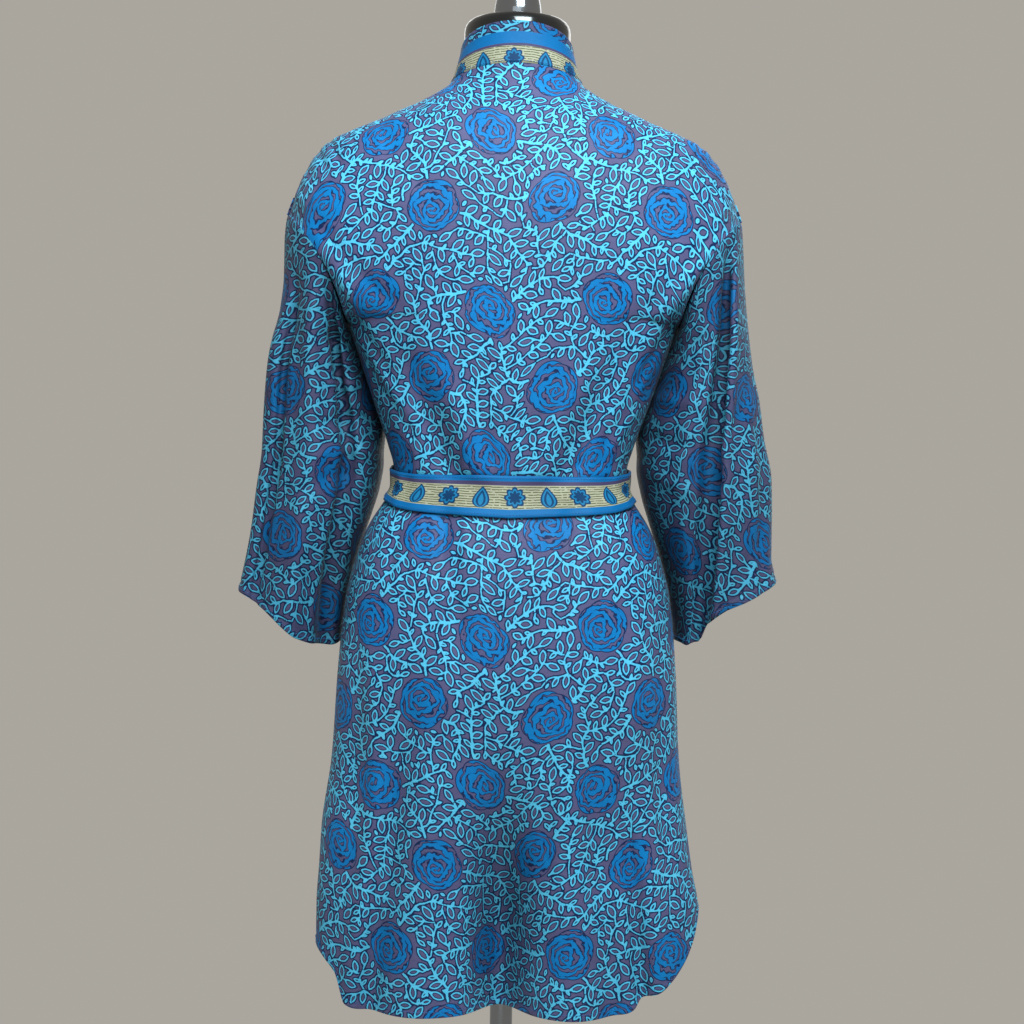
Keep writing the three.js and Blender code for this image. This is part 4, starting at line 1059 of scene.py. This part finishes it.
BODY_CLOTH = 0.72      # how dark the cloth looks over the black form
BORDER_CLOTH = 0.56    # the same for the collar and the belt
SLEEVE_PAINTED_SHADE = 0.46    # painted shade: how dark the sleeves' colour is made, for the shade that falls on them and for the little light that comes back through their thin single layer
printed_silk = silk("printed silk", print_colour, BODY_CLOTH)
# the sleeves' silk is a darker copy of the body's silk, with painted shade
shaded_sleeve_silk = silk("printed silk of one layer with painted shade", print_colour, SLEEVE_PAINTED_SHADE)
collar_silk = silk("collar border silk", border_colour(
    [(17.5, "cream"), (20, "purple"), (32, "blue"), (43, "print")], 5.0), BORDER_CLOTH)
belt_silk = silk("belt border silk", border_colour(
    [(8, "blue"), (31, "cream"), (35, "purple"), (60, "blue")], 19.5), BORDER_CLOTH)
blue_thread = plain("blue sewing thread", srgb(30, 96, 160), 0.7)
jersey = plain("black jersey", srgb(30, 31, 34), 0.9, grain=0.4)
gloss_black = plain("gloss black", srgb(12, 13, 15), 0.14, coat=0.3, variation=0.02)
chrome = plain("chrome", srgb(150, 154, 160), 0.12, metallic=1.0, variation=0.03)
powder_black = plain("satin black", srgb(24, 25, 28), 0.45)


def dress(piece, material, nodes):
    """Gives a piece its finish, its body and the solids that it stands for."""
    piece.data.materials.append(material)
    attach(piece, "root")
    if nodes:
        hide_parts(*nodes)
    return piece


# ---------- sewing ----------
STITCH_LENGTH = 2.1
STITCH_PITCH = 3.1
STITCH_HALF = 0.28
HEM_STITCH_ROW = 2     # the row of a hem's grid that lies near its turned edge
STITCH_RINGS = [(-0.5, 0.35, -0.1), (-0.2, 1.0, 0.22), (0.2, 1.0, 0.22), (0.5, 0.35, -0.1)]
stitches = []


def sew(line, normals):
    """Notes a row of stitches along a line on cloth: each stitch as rings of four points."""
    run = run_length(line)
    middles = np.arange(STITCH_PITCH, run[-1] - STITCH_PITCH, STITCH_PITCH)

    def at(values, place):
        return np.stack([np.interp(place, run, values[:, k]) for k in range(3)], -1)

    ahead = at(line, middles + STITCH_LENGTH / 2) - at(line, middles - STITCH_LENGTH / 2)
    ahead /= np.maximum(np.linalg.norm(ahead, axis=-1, keepdims=True), 1e-6)
    out = at(normals, middles)
    out /= np.maximum(np.linalg.norm(out, axis=-1, keepdims=True), 1e-6)
    aside = np.cross(ahead, out)
    for middle, forward, up, side in zip(at(line, middles), ahead, out, aside):
        for share, size, rise in STITCH_RINGS:
            ring = middle + forward * share * STITCH_LENGTH + up * rise
            stitches.extend(ring + size * STITCH_HALF * (up * v + side * u)
                            for u, v in ((1, 0), (0, 1), (-1, 0), (0, -1)))


def stitch_mesh():
    """All the stitches as one piece."""
    points = np.array(stitches)
    rings = len(STITCH_RINGS)
    faces = []
    for start in range(0, len(points), 4 * rings):
        for ring in range(rings - 1):
            low = start + 4 * ring
            faces += [(low + k, low + (k + 1) % 4, low + 4 + (k + 1) % 4, low + 4 + k) for k in range(4)]
        last = start + 4 * (rings - 1)
        faces += [(start + 3, start + 2, start + 1, start), (last, last + 1, last + 2, last + 3)]
    return dress(free_mesh("stitches", points, faces), blue_thread, [])


def run_length(line):
    steps = np.linalg.norm(np.diff(line, axis=0), axis=-1)
    return np.concatenate([[0], np.cumsum(steps)])


# ---------- back and fronts ----------
def rises(skirt_rows, yoke_rows):
    skirt = np.linspace(0, 1, skirt_rows + 1)
    yoke = 1 + (1 - np.cos(np.linspace(0, math.pi, yoke_rows + 1))) / 2
    return np.concatenate([skirt, yoke[1:]])


BELT_NIP = 5.0         # how far the belt draws the cloth in at the waist's sides
NIP_HEIGHT = 1016.0
NIP_TALL = 24.0


def belt_nip(place, height):
    return BELT_NIP * bump(height - NIP_HEIGHT, NIP_TALL) * np.abs(place) ** 1.5


SIDE_DIP = 2.6 / 90       # how far the valley along a side seam reaches, in place
SHOULDER_DIP = 2.0 / 120  # and along a shoulder seam, in rise


def seam_dip(place, rise):
    """The valley along the side, shoulder and armhole seams, 1 mm deep."""
    side = np.exp(-(1 - np.abs(place)) / SIDE_DIP)
    top = np.exp(-np.abs(2 - rise) / SHOULDER_DIP) * (np.abs(place) > NECK_PLACE)
    return -np.maximum(side, top)


SIDE_FULLNESS = 1.5    # how far the cloth bulges at the side under the arm, against the sleeve
SIDE_FULL_AT, SIDE_FULL_TALL = 1110.0, 55.0
SHOULDER_CLOSES_FROM = 1.75    # the rise from which the shoulder seam is drawn shut


def panel(name, side, surface, places, rise, creases, centre, nodes, print_at=(0, 0)):
    """A body panel as a fine sheet with its creases, its hem turned under."""
    base = surface(places, rise[:, None] + 0 * places)
    normals = grid_normals(base)
    if side > 0:
        normals = -normals
    flat = flat_cloth(base, centre)
    lift = crease_height(base[..., 0], base[..., 2], creases)
    lift = lift * smooth(0, 0.06, 1 - np.abs(places)) * smooth(2, 1.9, rise)[:, None]
    lift = lift + seam_dip(places, rise[:, None])
    lift = lift + SIDE_FULLNESS * smooth(0.93, 1, np.abs(places)) * bump(
        base[..., 2] - SIDE_FULL_AT, SIDE_FULL_TALL)
    draw_in = belt_nip(places, base[..., 2]) * np.sign(base[..., 0])
    lift = lift + pressed_hem(flat[..., 1] - flat[:1, :, 1])
    points = base + normals * lift[..., None]
    points[..., 0] -= draw_in
    points[..., 1] = side * np.maximum(side * points[..., 1], 0)
    open_by = points[-1, :, 1] * (np.abs(places[-1]) > NECK_PLACE)
    points[..., 1] -= open_by * smooth(SHOULDER_CLOSES_FROM, 2, rise)[:, None]
    sew(points[HEM_STITCH_ROW, 2:-2], normals[HEM_STITCH_ROW, 2:-2])
    points, flat = fold_hem(points, normals, flat)
    if side > 0:
        points, flat = points[:, ::-1], flat[:, ::-1]
    piece = build_mesh(name, points, repeat.marks_on(corner_values(flat + print_at)))
    return dress(piece, printed_silk, nodes)


SKIRT_ROWS, YOKE_ROWS = 240, 96
BACK_COLUMNS, FRONT_COLUMNS = 228, 124
# Where the print starts on each front.
LEFT_PRINT_AT, RIGHT_PRINT_AT = (96, 140), (61, 203)
rise_rows = rises(SKIRT_ROWS, YOKE_ROWS)
back_places = np.sin(np.linspace(-1, 1, BACK_COLUMNS + 1) * QUARTER)[None, :]
back_cloth = panel(
    "back_cloth", -1, lambda p, r: body_point(-1, p, r), np.repeat(back_places, len(rise_rows), 0),
    rise_rows, BACK_CREASES, BACK_COLUMNS // 2, ["back_panel"])


def front_places(hand):
    edge = np.arcsin(edge_place(hand, rise_rows))
    steps = np.linspace(0, 1, FRONT_COLUMNS + 1)[None, :]
    across = np.sin(lerp(hand * QUARTER, edge[:, None], steps))
    return across if hand < 0 else across[:, ::-1]


front_left_cloth = panel(
    "front_left_cloth", 1, over_front, front_places(-1), rise_rows, FRONT_CREASES, 0, ["front_left"],
    LEFT_PRINT_AT)
front_right_cloth = panel(
    "front_right_cloth", 1, under_front, front_places(1), rise_rows, FRONT_CREASES, FRONT_COLUMNS,
    ["front_right"], RIGHT_PRINT_AT)


# ---------- sleeves ----------
SLEEVE_AROUND, SLEEVE_ROWS = 136, 150
SLEEVE_FULLNESS = 4.2  # how far a sleeve's inner edge bulges against the body
SLEEVE_FULL_FROM, SLEEVE_FULL_TO = (1058.0, 1086.0), (1192.0, 1168.0)
SLEEVE_PRINT_AT = (37.0, 90.0)


def sleeve(name, rows, hand, creases, node):
    along = np.linspace(1, 0, SLEEVE_ROWS + 1)[:, None]
    turn = np.linspace(0, TWO_PI, SLEEVE_AROUND, endpoint=False)[None, :] + math.pi
    if hand > 0:
        turn = -turn
    along, turn = np.broadcast_arrays(along, turn)
    base = sleeve_point(rows, hand, turn, along)
    normals = grid_normals(base, closed=True)
    lift = sleeve_creases(turn, along, creases) * smooth(0, 0.08, along)
    flat = flat_cloth(closed_round(base), 0)
    lift = lift + pressed_hem((flat[..., 1] - flat[:1, :, 1])[:, :-1])
    from_inner_edge = (1 + np.cos(turn)) * SLEEVE_REACH
    height = base[..., 2]
    beside_body = smooth(*SLEEVE_FULL_FROM, height) * smooth(*SLEEVE_FULL_TO, height)
    lift = lift + SLEEVE_FULLNESS * bump(from_inner_edge, 9.0) * beside_body
    lift = lift - 0.4 * bump(from_inner_edge, 2.0) - 1.0 * bump(along * 300, 2.5)
    points = base + normals * lift[..., None]
    sew(points[HEM_STITCH_ROW], normals[HEM_STITCH_ROW])
    points, flat = fold_hem(closed_round(points), closed_round(normals), flat)
    flat = flat + [hand * SLEEVE_PRINT_AT[0], SLEEVE_PRINT_AT[1]]
    piece = build_mesh(name, points, repeat.marks_on(corner_values(flat)))
    return dress(piece, shaded_sleeve_silk, [node])


left_sleeve = sleeve("sleeve_left_cloth", LEFT_SLEEVE, -1, LEFT_SLEEVE_CREASES, "sleeve_left")
right_sleeve = sleeve("sleeve_right_cloth", RIGHT_SLEEVE, 1, RIGHT_SLEEVE_CREASES, "sleeve_right")


# ---------- neckband ----------
def outside_body(at, inset):
    half = yoke_half(at[..., 2]) - inset
    depth = np.where(at[..., 1] < 0, yoke_depth[-1](at[..., 2]), yoke_depth[1](at[..., 2])) - inset
    reach = np.hypot(at[..., 0] / half, at[..., 1] / depth)
    push = np.where((reach < 1) & (at[..., 2] > 1300), 1 / np.maximum(reach, 1e-6), 1)
    at[..., :2] *= push[..., None]
    return at


def collar_top(angle):
    turn = angle * COLLAR_LEAN
    drop = (COLLAR_BACK_TOP - COLLAR_SIDE_TOP) * (turn / QUARTER) ** 2
    return np.stack([
        COLLAR_RADIUS * np.sin(turn), -COLLAR_RADIUS * np.cos(turn), COLLAR_BACK_TOP - drop], -1)


BAND_ACROSS = 18
NECK_STEPS = 70
STRIP_PRINT_AT = (0.0, 60.0)


def band_rows(seam, standing, lying_at, lying, inset):
    share = np.linspace(0, 1, BAND_ACROSS + 1)[None, :, None]
    stood = lerp(seam[:, None], standing[:, None], share)
    flat = lying_at(share[..., 0])
    at = lerp(stood, flat, lying[:, None, None])
    return outside_body(at, inset[:, None])


def front_band(surface, hand, rise):
    place = edge_place(hand, rise)
    seam = surface(place, rise)
    half = half_width(place, seam[..., 2], rise)

    def lying_at(share):
        return surface(place[:, None] - hand * share * BAND_WIDTH / half[:, None], rise[:, None] + 0 * share)

    sunk = smooth(2, BAND_LIES_FROM, rise)
    standing = collar_top(hand * (QUARTER + sunk * COLLAR_FRONT_TURN))
    inset = BAND_SLACK + (under_inset(place, rise) if hand > 0 else 0 * rise)
    return band_rows(seam, standing, lying_at, sunk, inset)


def back_band():
    angle = np.linspace(QUARTER, -QUARTER, NECK_STEPS + 1)[1:-1]
    across, behind = np.sin(angle), np.cos(angle)
    size = np.abs(across) ** BODY_POWER + behind ** BODY_POWER
    place = NECK_PLACE * across / size ** (1 / BODY_POWER)
    seam = body_point(-1, place, 2 + 0 * place)
    turn = np.arctan2(place / NECK_PLACE, -seam[..., 1] / NECK_BACK)
    return band_rows(seam, collar_top(turn), lambda share: seam[:, None] + 0 * share[..., None],
                     0 * turn, BAND_SLACK + 0 * turn)


def closed_strip(name, outer, wall, corners_along, material, nodes, up_to):
    """A strip of two layers, folded at both edges, with its place along and across as attribute."""
    normals = grid_normals(outer)
    for edge in (1, -2):
        sew(outer[1:-1, edge], normals[1:-1, edge])
    crown = np.sin(np.linspace(0, math.pi, outer.shape[1])) ** 0.5
    inner = outer - normals * (wall * (0.35 + 0.65 * crown))[None, :, None]
    edge_low = lerp(outer[:, :1], inner[:, :1], 0.5)
    edge_high = lerp(outer[:, -1:], inner[:, -1:], 0.5)
    loop = np.concatenate([edge_low, outer, edge_high, inner[:, ::-1]], 1)
    share = np.linspace(0, up_to, outer.shape[1])
    up = np.concatenate([[0], share, [up_to], share[::-1], [0]])
    along = corners_along[:, None] + 0 * up[None, :]
    flat = np.stack([along, up[None, :] + 0 * along], -1)
    corners = corner_values(flat)
    attributes = repeat.marks_on(corners + STRIP_PRINT_AT)
    attributes["band"] = np.concatenate([corners, 0 * corners[..., :1]], -1)
    piece = build_mesh(name, np.concatenate([loop, loop[:, :1]], 1), attributes)
    return dress(piece, material, nodes)


right_band = front_band(under_front, 1, rise_rows[::2])
left_band = front_band(over_front, -1, rise_rows[::2])[::-1]
band_outer = np.concatenate([right_band, back_band(), left_band])
band_run = run_length(band_outer[:, BAND_ACROSS // 2])
band_middle = band_run[len(right_band) + NECK_STEPS // 2]
neckband = closed_strip("neckband_cloth", band_outer, WALL, band_run - band_middle + FLOWER_AT,
                        collar_silk, ["neckband"], BAND_WIDTH)


# ---------- belt ----------
BELT_AROUND, BELT_ACROSS = 260, 16
BELT_LIES_OUT = 3.2    # how far the belt's outer face lies off the robe
BELT_WIDTH = 40.5
FLOWER_ASIDE = 5.0     # how far the belt's middle flower lies towards the wearer's right


def belt_grid():
    """The belt's outer face, from the front round by the wearer's right side."""
    turn = np.linspace(math.pi, -math.pi, BELT_AROUND + 1)[:, None]
    share = np.linspace(0, 1, BELT_ACROSS + 1)[None, :]
    height = lerp(belt_low(np.degrees(np.abs(turn))), belt_high(np.degrees(np.abs(turn))), share)
    place = np.sin(turn) + 0 * share
    at = np.where((np.cos(turn) > 0)[..., None], skirt_point(-1, place, height),
                  skirt_point(1, place, height))
    at[..., 0] -= belt_nip(place, height) * np.sign(place)
    normal = np.stack([at[..., 0] / body_right(height) ** 2, at[..., 1] / body_depth[-1](height) ** 2,
                       0 * height], -1)
    normal = normal / np.linalg.norm(normal, axis=-1, keepdims=True)
    slack = 1.0 * np.sin(share * math.pi) * (1 + 0.5 * np.sin(turn * 9))
    scrunch = 0.6 * np.sin(turn * 23 + 3 * share) * smooth(0.3, 1, np.abs(np.sin(turn)))
    return at + normal * (BELT_LIES_OUT + slack + scrunch)[..., None]


belt_outer = belt_grid()
belt_run = run_length(belt_outer[:, BELT_ACROSS // 2])
belt_place = belt_run - belt_run[BELT_AROUND // 2] + FLOWER_AT + FLOWER_ASIDE
belt = closed_strip("belt_cloth", belt_outer, BELT_WALL, belt_place, belt_silk,
                    ["belt"], BELT_WIDTH)

# The knot and the tails, with the sizes of their solids.
KNOT_HEIGHT, KNOT_WIDTH, KNOT_DEPTH, KNOT_TALL, KNOT_NESTLE = 1045.0, 52.0, 26.0, 44.0, 1.2
TAIL_WIDTH, TAIL_PINCH, TAIL_OUT, TAIL_HANGS_FROM = 38.0, 0.55, 2.4, 84.0
TAILS = [
    # name, top, low, start, finish, slant, wave
    ("left", 1021, 700, -13, -44, 12, 3),
    ("right", 1021, 672, 13, 40, -10, 4),
]
KNOT_CREASES = [
    # across the knot: place, slope, half width, depth
    (-0.35, 0.5, 0.07, -0.16), (0.1, 0.55, 0.08, -0.2), (0.45, 0.45, 0.06, -0.12),
    (-0.15, 0.5, 0.06, 0.06), (0.28, 0.5, 0.06, 0.06), (-0.6, 0.6, 0.06, -0.1),
]


def knot():
    """A rounded tie whose cloth wraps slantwise over the belt."""
    rise = np.linspace(0.02, math.pi - 0.02, 61)[:, None]
    turn = np.linspace(0, TWO_PI, 121)[None, :]
    x, y = np.sin(rise) * np.cos(turn), np.sin(rise) * np.sin(turn)
    z = -np.cos(rise) + 0 * turn
    size = (np.abs(x) ** 3 + np.abs(y) ** 3 + np.abs(z) ** 3) ** (-1 / 3)
    for place, slope, width, depth in KNOT_CREASES:
        size = size + depth * bump(x - slope * z - place, width) * smooth(-0.2, 0.6, y)
    front = belt_outer[0, :, 1].max()
    middle = front - KNOT_NESTLE + KNOT_DEPTH / 2
    at = np.stack([x * size * KNOT_WIDTH / 2, middle + y * size * KNOT_DEPTH / 2,
                   KNOT_HEIGHT + z * size * KNOT_TALL / 2], -1)
    across = (x - 0.5 * z) * KNOT_WIDTH / 2
    along = (z + 0.5 * x) * KNOT_TALL / 2
    place = np.stack([along, across + BELT_WIDTH / 2], -1)
    attributes = repeat.marks_on(corner_values(place))
    attributes["band"] = attributes["cloth"]
    piece = build_mesh("belt_knot_cloth", at, attributes)
    return dress(piece, belt_silk, ["belt_knot"])


def tail(side, top, low, start, finish, slant, wave):
    """One tail of the belt, hanging from the knot in soft waves."""
    along = np.linspace(0, 1, 121)[:, None]
    share = np.linspace(0, 1, BELT_ACROSS + 1)[None, :]
    half = TAIL_WIDTH / 2 * lerp(TAIL_PINCH, 1, smooth(0, 0.25, along))
    x = lerp(start, finish, along) + half * (2 * share - 1)
    height = lerp(top, low, along) - (1 - share) * slant * along
    at = skirt_point(1, x / body_right(height), height)
    waves = np.abs(wave * np.sin(along * math.pi * 2.5) * smooth(0, 0.3, along))
    pleat = 1.2 * np.cos(share * TWO_PI * 2) * smooth(0.35, 0, along)
    at[..., 1] = np.maximum(at[..., 1], TAIL_HANGS_FROM) + TAIL_OUT + BELT_WALL + waves + pleat
    run = run_length(at[:, BELT_ACROSS // 2])
    return closed_strip(f"belt_tail_{side}_cloth", at, BELT_WALL - 0.4, run, belt_silk,
                        [f"belt_tail_{side}"], BELT_WIDTH)


knot()
belt_tails = [tail(*row) for row in TAILS]

stitch_mesh()

# ---------- the dress form and its stand ----------
FORM = table("height half back front", [
    (800, 146, 84, 82), (850, 152, 94, 88), (900, 148, 94, 88), (960, 128, 80, 82),
    (1030, 102, 64, 70), (1090, 112, 70, 78), (1150, 132, 80, 92), (1210, 148, 85, 104),
    (1270, 163, 86, 100), (1320, 173, 84, 86), (1347, 173, 82, 80), (1362, 168, 80, 78),
])
FORM_DROP, FORM_INSIDE, FORM_POWER = 5.0, 6.0, 2.1
FORM_SHOULDER, FORM_NECK, FORM_TOP, FORM_NECK_RADIUS = 1362.0, 1425.0, 1462.0, 52.2
FORM_SEAMS = [0.9, 2.24, 4.04, 5.38, QUARTER, 3 * QUARTER]
form_half = curve(FORM, "height", "half")
form_depth = {-1: curve(FORM, "height", "back"), 1: curve(FORM, "height", "front")}


def closed_ends(name, rings):
    """A mesh of stacked rings, in millimetres, closed by a fan at each end."""
    rows, columns = rings.shape[:2]
    points = np.concatenate([rings.reshape(-1, 3), rings[:1].mean(1), rings[-1:].mean(1)])
    index = np.arange(rows * columns).reshape(rows, columns)
    onward = np.roll(index, -1, 1)
    faces = np.stack([index[:-1], onward[:-1], onward[1:], index[1:]], -1).reshape(-1, 4).tolist()
    faces += [(rows * columns, b, a) for a, b in zip(index[0], onward[0])]
    faces += [(rows * columns + 1, a, b) for a, b in zip(index[-1], onward[-1])]
    piece = free_mesh(name, points, faces)
    piece.data.polygons.foreach_set("use_smooth", np.ones(len(faces), bool))
    return piece


def form_torso():
    """The form's smooth torso, with the sunk seams of its jersey cover."""
    height = np.concatenate([
        [800, 800.6, 802], np.linspace(806, FORM_NECK, 150), [1440, 1452, 1460, FORM_TOP]])[:, None]
    turn = np.linspace(0, TWO_PI, 180, endpoint=False)[None, :]
    c, v = np.cos(turn), np.sin(turn)
    reach = (np.abs(c) ** FORM_POWER + np.abs(v) ** FORM_POWER) ** (-1 / FORM_POWER)
    over = height >= FORM_SHOULDER
    under_yoke = np.minimum(yoke_half(height + FORM_DROP), form_half(FORM_SHOULDER))
    half = np.where(over, under_yoke, form_half(height))
    depth = np.where(v < 0, *[np.where(over, yoke_depth[side](height + FORM_DROP) - FORM_INSIDE,
                                       form_depth[side](height)) for side in (-1, 1)])
    neck = smooth(FORM_NECK, 1440, height)
    half, depth = lerp(half, FORM_NECK_RADIUS, neck), lerp(depth, FORM_NECK_RADIUS, neck)
    seam = sum(bump(turn - place, 0.012) for place in FORM_SEAMS) * (1 - neck)
    tuck = np.where(height < 802, (802 - height) * 1.2, 0)
    size = 1 - (seam + tuck) / half
    rings = np.stack([half * c * reach * size, depth * v * reach * size, height + 0 * c], -1)
    return dress(closed_ends("form_torso_cover", rings), jersey, ["form_torso"])


CORNER = 0.5           # how far from a corner of a turned profile its rounding starts


def turned(name, profile, material):
    """A turned part: its profile's corners are rounded before it goes round the axis."""
    profile = np.array(profile, float)
    rows = [profile[0]]
    for before, corner, after in zip(profile[:-2], profile[1:-1], profile[2:]):
        start, end = [
            corner + (other - corner) * min(CORNER / np.hypot(*(other - corner)), 0.35)
            for other in (before, after)]
        rows += [start, lerp(corner, (start + end) / 2, 0.4), end]
    rows.append(profile[-1])
    rows = np.array(rows)
    turn = np.linspace(0, TWO_PI, 96, endpoint=False)[None, :]
    radius, height = rows[:, :1], rows[:, 1:]
    rings = np.stack([radius * np.cos(turn), radius * np.sin(turn), height + 0 * turn], -1)
    return dress(closed_ends(name + "_turned", rings), material, [name])


form_torso()
turned("neck_cap", [
    (6, 1462.3), (52.2, 1462.3), (53, 1464), (53, 1481), (52.5, 1484.5), (51.4, 1487.4), (49.6, 1489.8),
    (47.2, 1491.5), (44, 1492.4), (6, 1492.4)], gloss_black)
turned("neck_finial", [
    (4, 1492.7), (22, 1492.7), (23.3, 1496), (23.4, 1503), (22.9, 1508.5), (21.9, 1514), (20.1, 1520),
    (17.6, 1524.8), (14.5, 1528.5), (11, 1531.4), (7, 1533.5), (3, 1534.8)], chrome)
turned("pole_flange", [
    (6, 783), (17, 783), (19, 785), (19, 792), (46, 795), (48, 797), (48, 799.7), (6, 799.7)],
    chrome)
turned("pole", [(4, 44.3), (11.2, 44.3), (11.2, 300), (11.2, 782.7), (4, 782.7)], chrome)
turned("base_collar", [
    (6, 22.3), (30, 22.3), (30, 25), (26, 30), (19, 34), (17.5, 42), (16, 44), (6, 44)],
    chrome)
turned("base_plate", [
    (10, 0), (156, 0), (160, 3), (160, 8), (157, 11), (120, 16), (70, 20.5), (34, 22), (10, 22)],
    powder_black)

# ---------- stage, light and camera ----------
CAMERA_DISTANCE = 1.9
CAMERA_HEIGHT = 1.003
CAMERA_SIDE = 0.0025
CAMERA_ROLL = math.radians(0.97)
SENSOR = 36            # width in mm
VIEW_WIDTH = 1.024     # width of the view at the pole
FLOOR_RADIUS = 1.65
ROOM_LIGHT = 0.55


def stage_floor(radius, colour):
    """A round pale floor that ends below the camera's view."""
    turn = np.linspace(0, TWO_PI, 96, endpoint=False)
    rim = [(radius * math.cos(angle), radius * math.sin(angle), 0) for angle in turn]
    mesh = bpy.data.meshes.new("floor")
    mesh.from_pydata(rim, [], [list(range(len(rim)))])
    floor = new_object("floor", mesh)
    mesh.materials.append(plain("pale floor", colour, 0.9))


def area_light(name, place, size, energy, colour, target):
    data = bpy.data.lights.new(name, "AREA")
    data.size = size
    data.energy = energy
    data.color = colour
    light = new_object(name, data)
    light.location = place
    aim = np.array(target) - np.array(place)
    flat = math.hypot(aim[0], aim[1])
    light.rotation_euler = (math.atan2(flat, -aim[2]), 0, math.atan2(-aim[0], aim[1]))


stage_floor(FLOOR_RADIUS, srgb(214, 210, 200))
LIGHTS = [
    # name, place, size, energy, colour, target
    ("key", (0.3, -1.3, 2.4), 0.9, 61, (0.8, 0.96, 1), (0, 0, 1.2)),
    ("front", (-0.3, -3.4, 1.3), 2.4, 16, (0.84, 0.96, 1), (0, 0, 1.05)),
    ("behind", (0.4, 3.0, 1.9), 3.0, 40, (0.96, 0.99, 1), (0, 0, 1.05)),
]
for row in LIGHTS:
    area_light(*row)

world = bpy.data.worlds.new("room")
bpy.context.scene.world = world
world.use_nodes = True
background = world.node_tree.nodes["Background"].inputs
background["Color"].default_value = srgb(222, 217, 207)
background["Strength"].default_value = ROOM_LIGHT

camera_data = bpy.data.cameras.new("camera")
camera_data.sensor_width = SENSOR
camera_data.lens = SENSOR * CAMERA_DISTANCE / VIEW_WIDTH
camera = new_object("camera", camera_data)
camera.location = (CAMERA_SIDE, -CAMERA_DISTANCE, CAMERA_HEIGHT)
camera.rotation_euler = (QUARTER, -CAMERA_ROLL, 0)
bpy.context.scene.camera = camera
bpy.context.scene.view_settings.view_transform = "Standard"
